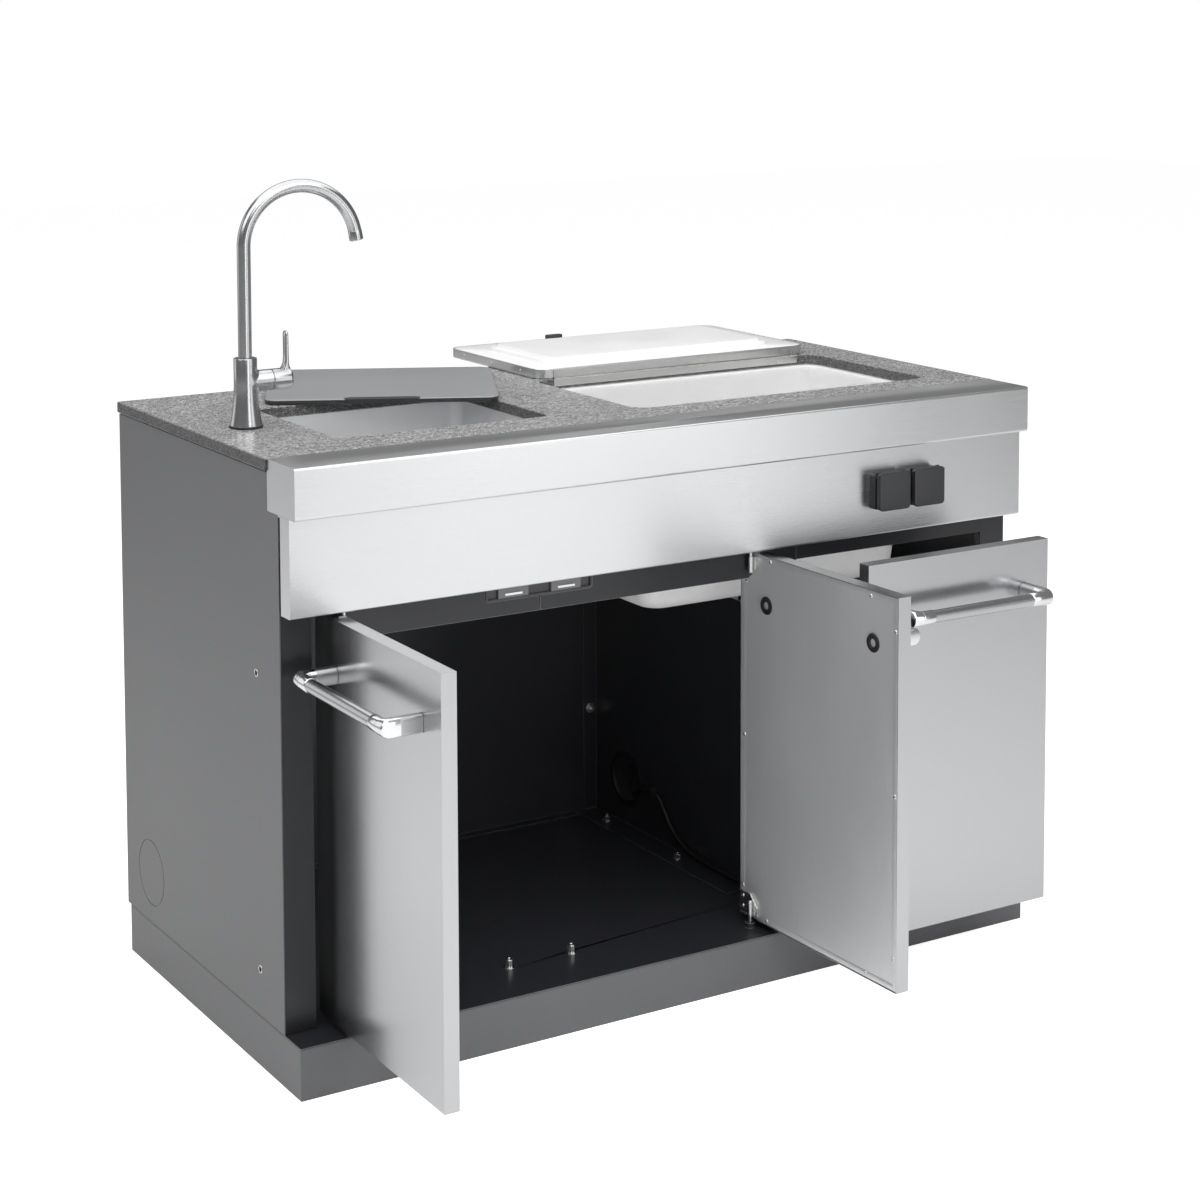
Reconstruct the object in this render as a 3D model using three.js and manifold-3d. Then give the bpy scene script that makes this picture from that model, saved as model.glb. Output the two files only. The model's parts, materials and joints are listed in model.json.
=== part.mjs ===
// Outdoor kitchen island: a folded steel cabinet with a granite worktop, an undermount sink with a swivel
// tap, an ice bin with a hinged lid, two pivoted doors and a drawer.
// Millimetres, +Z up. The front faces -Y and the origin is on the floor under the middle of the cabinet.
import * as THREE from 'three';
import { mergeVertices } from 'three/addons/utils/BufferGeometryUtils.js';
import Module from 'manifold-3d';

const wasm = await Module();
wasm.setup();

// Driving dimensions of the cabinet
const cabinet = { width: 1346, depth: 676, height: 915 };
const sheet = 2;
const skin = 1.2;
const touch = 0.3;
const overrun = 3;

// Counts of facets
const facets = { corner: 4, small: 8, round: 16, large: 24, elbow: 4, arch: 18, bolt: 6, spout: 12,
  lead: 6 };

// Places across the cabinet as shares of its width, and along it as shares of its depth, from the middle
const width_shares = { sinkLeft: -0.3833581, sinkRight: -0.1084695, binLeft: 0.0029718, binRight: 0.4413076,
  divider: 0.1753343, leftPivot: -0.4271917, midPivot: 0.1054978, drawerLeft: 0.1816493,
  drawerRight: 0.4543091, looseCover: -0.1843982 };
const depth_shares = { sinkFront: -0.227071, sinkBack: 0.2226331, binFront: -0.2551775, binBack: 0.2366864,
  looseCover: 0.3428994, tray: 0.5207101, runner: 0.6213018 };

// Sizes of the fixed pieces
const slab = { thickness: 18, overhang: 3, arris: 1.5, tapHole: 17 };
const nose = { depth: 93.5, height: 75.5, bend: 4 };
const fascia = { setback: 20, depth: 31, height: 143.5, bend: 3 };
const frame = { setback: 58, postWidth: 48.7, postReturn: 18, centrePostWidth: 45.7 };
const plinth = { height: 75.1, frontSetback: 4, backSetback: 12.5, foot: 25, lip: 30, rail: 50 };
const flange = { side: 20, foot: 46, back: 27, header: 28 };
const header = { height: 194.2, drawerHeight: 175.2, notchRise: 4, notchClear: 6.5 };
const knockOut = { fromBack: 107, overFloor: 82.3, radius: 54, groove: 1.6, depth: 1 };
const sideHole = { fromPost: 83, overFloor: 70.3, underNose: 247.5, radius: 4.5 };
const bolt = { headRadius: 5.5, headHeight: 5, washerRadius: 9, washer: 2.5, stand: 10, spread: 56 };
const leadHole = { fromDivider: 23, fromPost: 80 };

// Sink opening in the granite, its bowl, its drain and its loose cover
const sink = {
  left: width_shares.sinkLeft * cabinet.width,
  right: width_shares.sinkRight * cabinet.width,
  front: depth_shares.sinkFront * cabinet.depth,
  back: depth_shares.sinkBack * cabinet.depth,
  corner: 20,
  depth: 190,
  wall: 1.2,
};
const sinkRim = { reveal: 2, width: 22, thickness: 1.5, fillet: 18 };
const drain = { radius: 45, rim: 54, rimThickness: 2, cup: 38, tail: 20, depth: 70, wall: 3, web: 4 };
const sinkCover = { sideLap: 5, endLap: 9, height: 8.7, corner: 22 };
const coverTurn = -26.4;
const coverGrip = { span: 118, width: 13, height: 8, clear: 0.3 };

// Ice bin and its lid
const bin = {
  left: width_shares.binLeft * cabinet.width,
  right: width_shares.binRight * cabinet.width,
  front: depth_shares.binFront * cabinet.depth,
  back: depth_shares.binBack * cabinet.depth,
  corner: 30,
  ledge: 12,
  rim: 25,
};
const tub = { rimThickness: 4, wall: 6, depth: 318.7, sideTaper: 34, endTaper: 29, fillet: 22 };
const binDrain = { radius: 14, flange: 24, tail: 42, nut: 20, nutHeight: 9, wall: 3 };
const lid = { sideGap: 10, endGap: 10.5, skirt: 17, corner: 27, wall: 1.5, notch: 22, notchDepth: 5,
  notchPlace: 28 };
const lidInner = { wall: 3, recess: 1, clear: 0.5, plugSide: 46, plugHinge: 36, plugFar: 47,
  plugHeight: 11 };
const plug = { corner: 30, draft: 5 };
const pull = { fromMiddle: 85, fromFar: 41, width: 40, depth: 14, height: 4, corner: 5 };
const leaf = { leftInset: 42, rightInset: 33, height: 14, knuckle: 1.8, offset: 0.6, pitch: 34.3, end: 0.4 };

// Doors and drawer front
const door = { overPlinth: 13.9, underFascia: 7.7, thickness: 23.5, pivotEdge: 35, pivotBehind: 6,
  pivotProud: 8, reveal: 3, recess: 1 };
const openAngle = { left: 90.5, mid: 91 };
const liner = { clear: 0.3, rim: 15, thickness: 1.2 };
const handle = { spacing: 265, standOff: 53, bar: 9, post: 10.5, collar: 30, bend: 13, flat: 2.4,
  fromTop: 80, lap: 4, shift: 4 };
const grommet = { hole: 12, flange: 14.5, lip: 1.4, depth: 7, bore: 6 };
const pivot = { plateWidth: 46, plateHeight: 34, plate: 3, barrel: 4.2, barrelLength: 26, pin: 3, edge: 6 };
const bush = { radius: 8, height: 8, clear: 0.4, bracketWidth: 26, bracketReach: 18, plate: 3, leg: 36,
  over: 2.5 };
const drawer = {
  left: width_shares.drawerLeft * cabinet.width,
  right: width_shares.drawerRight * cabinet.width,
  out: 141,
};
const tray = { leftInset: 17.5, rightInset: 15.5, wall: 1.5, lift: 10, rise: 71, frontRise: 300, fall: 140,
  ledge: 12 };
const runner = { inset: 38, width: 20, height: 14, wall: 2, fromPost: 8, play: 0.5, foot: 2, railInset: 15.2,
  railEnd: 0.8 };

// Magnetic catch in the header's slot
const catchSlot = { width: 188, height: 26, fromMiddle: 26.5, overEdge: 23, corner: 6, seam: 1.8 };
const magnet = { width: 52, height: 18, inset: 22, under: 3.5, proud: 13.3, plate: 2.5, lap: 8 };

// Tap
const tap = { fromSide: 79, behindMiddle: 8, foot: 25, neck: 18, height: 107, ring: 3, ringRadius: 26,
  flare: 52 };
const flare_shares = [[0.45, 0.4], [0.12, 0.75]];
const barrel = { height: 70, radius: 16.5, fixedReach: 42, reach: 75, cartridge: 10, leverReach: 62.5 };
const cap = { wall: 3, slotWidth: 13, slotBack: 3.5, slotFront: 9.5, end: 3 };
const lever = { top: 144, thickness: 5.5, width: 11, tipWidth: 14, lean: 1, ball: 8.7, root: 5 };
const lever_shares = { shoulder: 0.8, tip: 0.667 };
const spout = { radius: 10.5, arch: 98, top: 381 };
const spoutAngle = { sweep: 163, turn: -5 };
const aerator = { radius: 11.5, height: 14, lap: 2, wall: 2 };
const shank = { radius: 15.5, height: 62, nutRadius: 26, nutHeight: 9, nutClear: 0.4 };

// Sockets on the lower fascia
const socket = { fromSide: 285, pitch: 71, overMiddle: 1.05, width: 62, height: 59, base: 9.5, neck: 2,
  neckInset: 3, rim: 5 };
const socketCover = { thickness: 10, shell: 2.2, corner: 7, pin: 2.2, pinSpan: 44, lug: 6, round: 2 };
const socketBox = { depth: 33, height: 66, side: 14, throat: 46, nipple: 7, nippleReach: 14 };

// Power lead
const lead = { radius: 4 };
const leadSteps = 2;
const clip = { wall: 1.6, width: 9, foot: 16, clear: 0.6 };
const ring = { holeRadius: 45, lip: 4, depth: 4, floorHole: 11, floorLip: 3 };

// Planes worked out from the sizes
const front = -cabinet.depth / 2;
const back = cabinet.depth / 2;
const side = cabinet.width / 2;
const slabUnder = cabinet.height - slab.thickness;
const noseBack = front + nose.depth;
const noseUnder = cabinet.height - nose.height;
const fasciaFront = front + fascia.setback;
const fasciaBack = fasciaFront + fascia.depth;
const fasciaTop = noseUnder - touch;
const fasciaUnder = fasciaTop - fascia.height;
const frameFront = front + frame.setback;
const plinthFront = front + plinth.frontSetback;
const plinthBack = back - plinth.backSetback;
const floorUnder = plinth.height + touch;
const floorTop = floorUnder + sheet;
const standOn = floorTop + touch;
const headerTop = noseUnder - touch;
const headerUnder = headerTop - header.height;
const panelTop = slabUnder - sheet;
const wallInside = side - sheet;
const postLeft = -wallInside + touch;
const postInner = postLeft + frame.postWidth;
const dividerX = width_shares.divider * cabinet.width;
const centrePostLeft = dividerX - touch - frame.centrePostWidth;
const backPanelFront = back - sheet - touch - sheet;
const doorUnder = plinth.height + door.overPlinth;
const doorTop = fasciaUnder - door.underFascia;
const handleZ = doorTop - handle.fromTop;
const pivotY = frameFront - door.pivotProud;
const pivotX = { left: width_shares.leftPivot * cabinet.width, mid: width_shares.midPivot * cabinet.width };
const bayMiddle = (pivotX.left + pivotX.mid) / 2;
const knockOutY = back - knockOut.fromBack;
const knockOutZ = standOn + knockOut.overFloor;
const sideHoleY = frameFront + sideHole.fromPost;
const sideHoleLow = standOn + sideHole.overFloor;
const sideHoleHigh = noseUnder - sideHole.underNose;
const leadHoleX = dividerX - leadHole.fromDivider;
const leadHoleY = frameFront + leadHole.fromPost;
const slotLeft = bayMiddle - catchSlot.fromMiddle - catchSlot.width / 2;
const slotRight = slotLeft + catchSlot.width;
const slotUnder = headerUnder + catchSlot.overEdge;
const slotTop = slotUnder + catchSlot.height;
const trayLeft = drawer.left + tray.leftInset;
const trayRight = drawer.right - tray.rightInset;
const trayDepth = depth_shares.tray * cabinet.depth;
const trayUnder = doorUnder + tray.lift;
const runnerSpan = depth_shares.runner * cabinet.depth;
const lidLeft = bin.left + lid.sideGap;
const lidRight = bin.right - lid.sideGap;
const lidDepth = bin.back - bin.front - lid.endGap;
const leafLeft = bin.left + leaf.leftInset;
const leafRight = bin.right - leaf.rightInset;
const sinkX = (sink.left + sink.right) / 2;
const sinkY = (sink.front + sink.back) / 2;
const binX = (bin.left + bin.right) / 2;
const binY = (bin.front + bin.back) / 2;
const tapX = -side + tap.fromSide;
const tapY = sinkY + tap.behindMiddle;
const socketX = side - socket.fromSide;
const socketZ = (fasciaTop + fasciaUnder) / 2 + socket.overMiddle;

// Materials
function material(color, roughness, metalness) {
  return new THREE.MeshStandardMaterial({ color, roughness, metalness, flatShading: true });
}
const materials = {
  stainless: material(0xc9cacb, 0.34, 0.9),
  brushed: material(0xb9babc, 0.3, 0.95),
  coated: material(0x5b5d60, 0.5, 0.4),
  black: material(0x17181a, 0.3, 0.2),
  granite: material(0x6f7072, 0.35, 0.0),
  white: material(0xf1f1f0, 0.4, 0.0),
  cover: material(0x8d8f93, 0.45, 0.6),
  zinc: material(0xd5d5d2, 0.35, 0.9),
  rubber: material(0x111213, 0.8, 0.0),
  plastic: material(0x3f4144, 0.5, 0.0),
};

// Geometry helpers
function weld(geometry) {
  const bare = new THREE.BufferGeometry();
  bare.setAttribute('position', geometry.attributes.position.clone());
  if (geometry.index) {
    bare.setIndex(geometry.index.clone());
  }
  const merged = mergeVertices(bare);
  const kept = [];
  const index = merged.index.array;
  for (let i = 0; i < index.length; i += 3) {
    const [a, b, c] = [index[i], index[i + 1], index[i + 2]];
    if (a !== b && b !== c && c !== a) {
      kept.push(a, b, c);
    }
  }
  merged.setIndex(kept);
  if (signedVolume(merged) < 0) {
    kept.reverse();
    merged.setIndex(kept);
  }
  return merged;
}

function signedVolume(geometry) {
  const position = geometry.attributes.position;
  const index = geometry.index.array;
  const [a, b, c] = [new THREE.Vector3(), new THREE.Vector3(), new THREE.Vector3()];
  let sum = 0;
  for (let i = 0; i < index.length; i += 3) {
    a.fromBufferAttribute(position, index[i]);
    b.fromBufferAttribute(position, index[i + 1]);
    c.fromBufferAttribute(position, index[i + 2]);
    sum += a.dot(b.cross(c)) / 6;
  }
  return sum;
}

function toSolid(geometry) {
  const welded = weld(geometry);
  const mesh = new wasm.Mesh({
    numProp: 3,
    vertProperties: new Float32Array(welded.attributes.position.array),
    triVerts: new Uint32Array(welded.index.array),
  });
  return new wasm.Manifold(mesh);
}

function fromSolid(solid) {
  const mesh = solid.getMesh();
  const geometry = new THREE.BufferGeometry();
  geometry.setAttribute('position', new THREE.BufferAttribute(new Float32Array(mesh.vertProperties), 3));
  geometry.setIndex(new THREE.BufferAttribute(new Uint32Array(mesh.triVerts), 1));
  return geometry;
}

function join(...geometries) {
  let solid = toSolid(geometries[0]);
  for (const geometry of geometries.slice(1)) {
    solid = solid.add(toSolid(geometry));
  }
  return fromSolid(solid);
}

function cut(geometry, ...tools) {
  let solid = toSolid(geometry);
  for (const tool of tools) {
    solid = solid.subtract(toSolid(tool));
  }
  return fromSolid(solid);
}

// Every vertex is placed anew, so that faces meant to be flush share exact coordinates
function placed(geometry, place) {
  const position = geometry.attributes.position;
  for (let i = 0; i < position.count; i += 1) {
    position.setXYZ(i, ...place(position.getX(i), position.getY(i), position.getZ(i)));
  }
  return geometry;
}

function box(x0, x1, y0, y1, z0, z1) {
  return placed(new THREE.BoxGeometry(1, 1, 1), (x, y, z) => (
    [x < 0 ? x0 : x1, y < 0 ? y0 : y1, z < 0 ? z0 : z1]));
}

function roundedPoints(u0, u1, v0, v1, radius) {
  const corners = [[u1 - radius, v0 + radius], [u1 - radius, v1 - radius], [u0 + radius, v1 - radius],
    [u0 + radius, v0 + radius]];
  const points = [];
  corners.forEach(([u, v], quarter) => {
    for (let step = 0; step <= facets.corner; step += 1) {
      const angle = (quarter - 1 + step / facets.corner) * Math.PI / 2;
      points.push(new THREE.Vector2(u + radius * Math.cos(angle), v + radius * Math.sin(angle)));
    }
  });
  return points;
}

function roundedShape(u0, u1, v0, v1, radius) {
  return new THREE.Shape(roundedPoints(u0, u1, v0, v1, radius));
}

function outline(points) {
  return new THREE.Shape(points.map(([u, v]) => new THREE.Vector2(u, v)));
}

function unitSweep(shape) {
  return new THREE.ExtrudeGeometry(shape, { depth: 1, bevelEnabled: false });
}

function alongZ(shape, z0, z1) {
  return placed(unitSweep(shape), (u, v, w) => [u, v, w > 0 ? z1 : z0]);
}

// The shape is drawn in Y and Z
function alongX(shape, x0, x1) {
  return placed(unitSweep(shape), (u, v, w) => [w > 0 ? x1 : x0, u, v]);
}

// The shape is drawn in X and Z
function alongY(shape, y0, y1) {
  return placed(unitSweep(shape), (u, v, w) => [u, w > 0 ? y0 : y1, v]);
}

// A solid of revolution about Z, from pairs of radius and height that start and end on the axis
function turned(profile, sides = facets.round) {
  const points = profile.map(([radius, height]) => new THREE.Vector2(radius, height));
  return new THREE.LatheGeometry(points, sides).rotateX(Math.PI / 2);
}

function rod(radius, z0, z1, sides = facets.round) {
  return turned([[0, z0], [radius, z0], [radius, z1], [0, z1]], sides);
}

function annulus(inner, outer, z0, z1, sides = facets.round) {
  return turned([[inner, z0], [outer, z0], [outer, z1], [inner, z1], [inner, z0]], sides);
}

function rodAlongX(radius, x0, x1, y, z, sides = facets.round) {
  return rod(radius, x0, x1, sides).rotateY(Math.PI / 2).translate(0, y, z);
}

// A closed body through rounded rectangles, each given as its four sides, corner radius and height
function loft(sections) {
  const rings = sections.map(([x0, x1, y0, y1, radius, z]) => (
    roundedPoints(x0, x1, y0, y1, radius).map((point) => new THREE.Vector3(point.x, point.y, z))));
  const count = rings[0].length;
  const positions = rings.flat().flatMap((point) => [point.x, point.y, point.z]);
  const index = [];
  for (let level = 0; level + 1 < rings.length; level += 1) {
    for (let i = 0; i < count; i += 1) {
      const next = (i + 1) % count;
      const [a, b] = [level * count + i, level * count + next];
      index.push(a, b, b + count, a, b + count, a + count);
    }
  }
  for (let i = 1; i + 1 < count; i += 1) {
    const last = (rings.length - 1) * count;
    index.push(0, i + 1, i);
    index.push(last, last + i, last + i + 1);
  }
  const geometry = new THREE.BufferGeometry();
  geometry.setAttribute('position', new THREE.Float32BufferAttribute(positions, 3));
  geometry.setIndex(index);
  return geometry;
}

// Sections of a basin that narrows downwards and ends in a rounded bottom edge
function basinSections(rim, taperX, taperY, bottom, fillet) {
  const [x0, x1, y0, y1, radius, top] = rim;
  const sections = [];
  const turn = facets.corner;
  for (let step = 0; step <= turn; step += 1) {
    const angle = (step / turn) * Math.PI / 2;
    const inward = fillet * (1 - Math.sin(angle));
    const z = bottom + fillet * (1 - Math.cos(angle));
    const fall = (top - z) / (top - bottom);
    const insetX = inward + taperX * fall;
    const insetY = inward + taperY * fall;
    sections.push([x0 + insetX, x1 - insetX, y0 + insetY, y1 - insetY, radius, z]);
  }
  sections.push(rim);
  return sections;
}

const root = new THREE.Group();

function add(parent, name, geometry, finish) {
  const mesh = new THREE.Mesh(weld(geometry), materials[finish]);
  mesh.name = name;
  parent.add(mesh);
}

// Plinth: four skirts with returned feet and a top lip, and a channel across the middle
function makeBasePan() {
  const shell = (inset, z0, z1) => (
    box(-side + inset, side - inset, plinthFront + inset, plinthBack - inset, z0, z1));
  const skirts = cut(shell(0, 0, plinth.height), shell(sheet, -overrun, plinth.height + overrun));
  const feet = cut(shell(0, 0, sheet), shell(plinth.foot, -overrun, sheet + overrun));
  const lip = cut(
    shell(0, plinth.height - sheet, plinth.height),
    shell(plinth.lip, plinth.height - sheet - overrun, plinth.height + overrun));
  const half = plinth.rail / 2;
  const channel = outline([[-half, 0], [half, 0], [half, sheet], [-half + sheet, sheet],
    [-half + sheet, plinth.height - sheet], [half, plinth.height - sheet], [half, plinth.height],
    [-half, plinth.height]]);
  return join(skirts, feet, lip, alongX(channel, -side + sheet / 2, side - sheet / 2));
}

// Floor: a plate with a pressed bush for each door's lower pin and two tall frame bolts near its front
function makeFloor() {
  const plate = box(-side, side, plinthFront, plinthBack, floorUnder, floorTop);
  const hole = rod(ring.floorHole, floorUnder - overrun, floorTop + overrun);
  const plates = cut(plate, hole.translate(leadHoleX, leadHoleY, 0));
  const seat = floorTop - sheet / 2;
  const bushes = [pivotX.left, pivotX.mid].map((x) => (
    annulus(pivot.pin + bush.clear, bush.radius, seat, floorTop + bush.height).translate(x, pivotY, 0)));
  const bolts = [-1, 1].map((hand) => (
    makeBolt(bolt.stand).translate(bayMiddle + hand * bolt.spread, frameFront + frame.postWidth, seat)));
  return join(plates, ...bushes, ...bolts);
}

// Folded side panel: the wall is notched for the nose and has flanges at its foot, top and back
function makeSidePanel(hand) {
  const wallLine = outline([[frameFront, standOn], [back, standOn], [back, panelTop],
    [noseBack + touch, panelTop], [noseBack + touch, noseUnder - touch], [frameFront, noseUnder - touch]]);
  const wall = alongX(wallLine, -side, -wallInside);
  const reach = -wallInside + flange.side;
  const footStart = frameFront + frame.postReturn + touch;
  const foot = box(-side, reach, footStart, back, standOn, standOn + sheet);
  const top = box(-side, reach, noseBack + touch, back, panelTop - sheet, panelTop);
  const rear = box(-side, reach, back - sheet, back, standOn, panelTop);
  const folded = join(wall, foot, top, rear);
  const inside = knockOut.radius - knockOut.groove;
  const groove = annulus(inside, knockOut.radius, -overrun, knockOut.depth, facets.large);
  groove.rotateY(Math.PI / 2).translate(-side, knockOutY, knockOutZ);
  const holes = [sideHoleLow, sideHoleHigh].map((z) => (
    rodAlongX(sideHole.radius, -side - overrun, -wallInside + overrun, sideHoleY, z, facets.small)));
  const panel = cut(folded, groove, ...holes);
  return hand < 0 ? panel : panel.scale(-1, 1, 1);
}

// The back panel folds forward at its top and foot, with a break at its foot for the divider
function makeBackPanel() {
  const edge = wallInside - touch;
  const low = standOn + sheet + touch;
  const high = panelTop - sheet - touch;
  const wall = box(-edge, edge, backPanelFront, backPanelFront + sheet, low, high);
  const inset = flange.side + touch;
  const tongue = box(-edge + inset, edge - inset, backPanelFront, backPanelFront + sheet, standOn, panelTop);
  const fold = (x0, x1, z) => (
    box(x0, x1, backPanelFront - flange.side, backPanelFront + sheet, z, z + sheet));
  const topFlange = fold(-edge + inset, edge - inset, panelTop - sheet);
  const leftFoot = fold(-edge + inset, dividerX - flange.foot - touch, standOn);
  const rightFoot = fold(dividerX + sheet + touch, edge - inset, standOn);
  return join(wall, tongue, topFlange, leftFoot, rightFoot);
}

// Wall between the bays: it steps down under the ice bin and turns out at its foot and back
function makeDivider() {
  const top = slabUnder - tub.rimThickness - 2 * touch;
  const under = slabUnder - tub.depth - touch - 2 * sheet;
  const notchFront = bin.front - bin.rim / 2;
  const notchBack = bin.back + bin.rim / 2;
  const rear = backPanelFront - touch;
  const start = frameFront + touch;
  const line = outline([[start, standOn], [rear, standOn], [rear, top], [notchBack, top], [notchBack, under],
    [notchFront, under], [notchFront, top], [noseBack + touch, top], [noseBack + touch, noseUnder - touch],
    [start, noseUnder - touch]]);
  const wall = alongX(line, dividerX, dividerX + sheet);
  const footStart = leadHoleY + flange.foot;
  const foot = box(dividerX - flange.foot, dividerX + sheet, footStart, rear, standOn, standOn + sheet);
  const rearFlange = box(dividerX - flange.back, dividerX + sheet, rear - sheet, rear, standOn, top);
  const hole = rodAlongX(ring.holeRadius, dividerX - overrun, dividerX + sheet + overrun, knockOutY - sheet,
    knockOutZ + sheet, facets.large);
  const folded = cut(join(wall, foot, rearFlange), hole);
  const seat = standOn + sheet / 2;
  const bolts = [knockOutY + flange.header, flange.header].map((y) => (
    makeBolt(bolt.headHeight).translate(dividerX - flange.foot / 2, y, seat)));
  const boltX = dividerX - flange.back / 2;
  const rearBolts = [knockOutZ + 2 * knockOut.radius, sideHoleHigh].map((z) => (
    makeBolt(bolt.headHeight).rotateX(Math.PI / 2).translate(boltX, rear - sheet / 2, z)));
  return join(folded, ...bolts, ...rearBolts);
}

// Front posts: channels that open to the back
function makePost(x0, x1) {
  const depth = frameFront + frame.postReturn;
  const line = outline([[x0, frameFront], [x1, frameFront], [x1, depth], [x1 - sheet, depth],
    [x1 - sheet, frameFront + sheet], [x0 + sheet, frameFront + sheet], [x0 + sheet, depth], [x0, depth]]);
  return alongZ(line, standOn, noseUnder - touch);
}

// A header is a channel behind the fascia, with its lower edge showing above the bay
function makeHeader(x0, x1, under) {
  const top = headerTop;
  const line = outline([[frameFront, under], [frameFront + flange.header, under],
    [frameFront + flange.header, under + sheet], [frameFront + sheet, under + sheet],
    [frameFront + sheet, top - sheet], [frameFront + flange.header, top - sheet],
    [frameFront + flange.header, top], [frameFront, top]]);
  return alongX(line, x0, x1);
}

function makeDoorHeader() {
  const x0 = postInner + touch;
  const x1 = centrePostLeft - touch;
  const rail = makeHeader(x0, x1, headerUnder);
  const deep = frameFront + flange.header + overrun;
  const notchTop = doorTop + header.notchRise;
  const notch = (from, to) => box(from, to, frameFront - overrun, deep, headerUnder - overrun, notchTop);
  const pinClear = header.notchClear - pivot.pin;
  const leftNotch = notch(x0 - overrun, pivotX.left - pinClear);
  const rightNotch = notch(pivotX.mid + pinClear, x1 + overrun);
  const slotLine = roundedShape(slotLeft, slotRight, slotUnder, slotTop, catchSlot.corner);
  const slot = alongY(slotLine, frameFront - overrun, frameFront + sheet + overrun);
  const middle = (slotLeft + slotRight) / 2;
  const seam = box(middle - catchSlot.seam / 2, middle + catchSlot.seam / 2, frameFront - overrun,
    frameFront + sheet + overrun, headerUnder + sheet, slotUnder + catchSlot.corner);
  return cut(rail, leftNotch, rightNotch, slot, seam);
}

function makeDrawerHeader() {
  const rail = makeHeader(dividerX + sheet + touch, -postInner - touch, headerTop - header.drawerHeight);
  const nippleHole = rod(socketBox.nipple + touch, frameFront - overrun, frameFront + sheet + overrun);
  nippleHole.rotateX(-Math.PI / 2).translate(socketX + socket.pitch / 2, 0, socketZ);
  return cut(rail, nippleHole);
}

// Nose: a folded box with closed ends, open at its back
function makeUpperFascia() {
  const deep = noseBack + nose.bend;
  const outerLine = roundedShape(front, deep + nose.bend, noseUnder, cabinet.height, nose.bend);
  const outer = alongX(outerLine, -side, side);
  const innerLine = roundedShape(front + sheet, deep + nose.bend, noseUnder + sheet, cabinet.height - sheet,
    nose.bend - sheet);
  const inner = alongX(innerLine, -side + sheet, side - sheet);
  const rear = box(-side - overrun, side + overrun, noseBack, deep + nose.bend + overrun,
    noseUnder - overrun, cabinet.height + overrun);
  return cut(outer, inner, rear);
}

// Lower band: front, lower return and end returns, with a top return that reaches the header
function makeLowerFascia() {
  const frameGap = frameFront - touch;
  const outerLine = roundedShape(fasciaFront, frameGap + fascia.bend, fasciaUnder, fasciaTop + fascia.bend,
    fascia.bend);
  const outer = alongX(outerLine, -side, side);
  const innerLine = roundedShape(fasciaFront + sheet, frameGap + fascia.bend + overrun, fasciaUnder + sheet,
    fasciaTop - sheet, fascia.bend - sheet);
  const inner = alongX(innerLine, -side + sheet, side - sheet);
  const above = box(-side - overrun, side + overrun, fasciaFront - overrun, frameGap + overrun, fasciaTop,
    fasciaTop + 2 * overrun);
  const behind = box(-side - overrun, side + overrun, frameGap, frameGap + 2 * overrun,
    fasciaUnder - overrun, fasciaTop + overrun);
  const short = box(-side - overrun, side + overrun, fasciaBack, frameGap + overrun, fasciaUnder - overrun,
    fasciaTop - sheet);
  const throats = [0, 1].map((place) => {
    const x = socketX + place * socket.pitch;
    const half = socketBox.throat / 2 + touch;
    return box(x - half, x + half, fasciaFront - overrun, fasciaFront + sheet + overrun, socketZ - half,
      socketZ + half);
  });
  return cut(outer, inner, above, behind, short, ...throats);
}

function makeWorktop() {
  const { arris } = slab;
  const edge = side + slab.overhang;
  const shape = outline([[-edge, noseBack + touch], [edge, noseBack + touch], [edge, back], [-edge, back]]);
  shape.holes.push(new THREE.Path(roundedPoints(sink.left, sink.right, sink.front, sink.back, sink.corner)));
  shape.holes.push(new THREE.Path(roundedPoints(bin.left, bin.right, bin.front, bin.back, bin.corner)));
  const slabBody = new THREE.ExtrudeGeometry(shape, {
    depth: slab.thickness - 2 * arris,
    bevelEnabled: true,
    bevelThickness: arris,
    bevelSize: arris,
    bevelOffset: -arris,
    bevelSegments: 1,
  }).translate(0, 0, slabUnder + arris);
  const tapHole = rod(slab.tapHole, slabUnder - overrun, cabinet.height + overrun);
  return cut(slabBody, tapHole.translate(tapX, tapY, 0));
}

// Frame bolt: a hexagon head on its washer
function makeBolt(height) {
  const washer = rod(bolt.washerRadius, 0, bolt.washer, facets.small);
  const head = rod(bolt.headRadius, bolt.washer / 2, bolt.washer + height, facets.bolt);
  return join(washer, head);
}

// Angle on the header's face that takes the top pin of a door
function makeTopBracket(x) {
  const half = bush.bracketWidth / 2;
  const rear = frameFront - touch;
  const under = doorTop + bush.over;
  const plate = box(x - half, x + half, rear - bush.bracketReach, rear, under, under + bush.plate);
  const leg = box(x - half, x + half, rear - bush.plate, rear, under, under + bush.leg);
  const hole = rod(pivot.pin + bush.clear, under - overrun, under + bush.plate + overrun);
  return cut(join(plate, leg), hole.translate(x, pivotY, 0));
}

function makeCatch() {
  const rear = frameFront + sheet + touch;
  const plate = box(slotLeft - magnet.lap, slotRight + magnet.lap, rear, rear + magnet.plate,
    slotUnder - magnet.lap, slotTop + magnet.lap);
  const low = slotUnder + magnet.under;
  const blocks = [slotLeft + magnet.inset, slotRight - magnet.inset - magnet.width].map((x) => (
    box(x, x + magnet.width, frameFront - magnet.proud, rear + magnet.plate / 2, low, low + magnet.height)));
  return join(plate, ...blocks);
}

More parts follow.
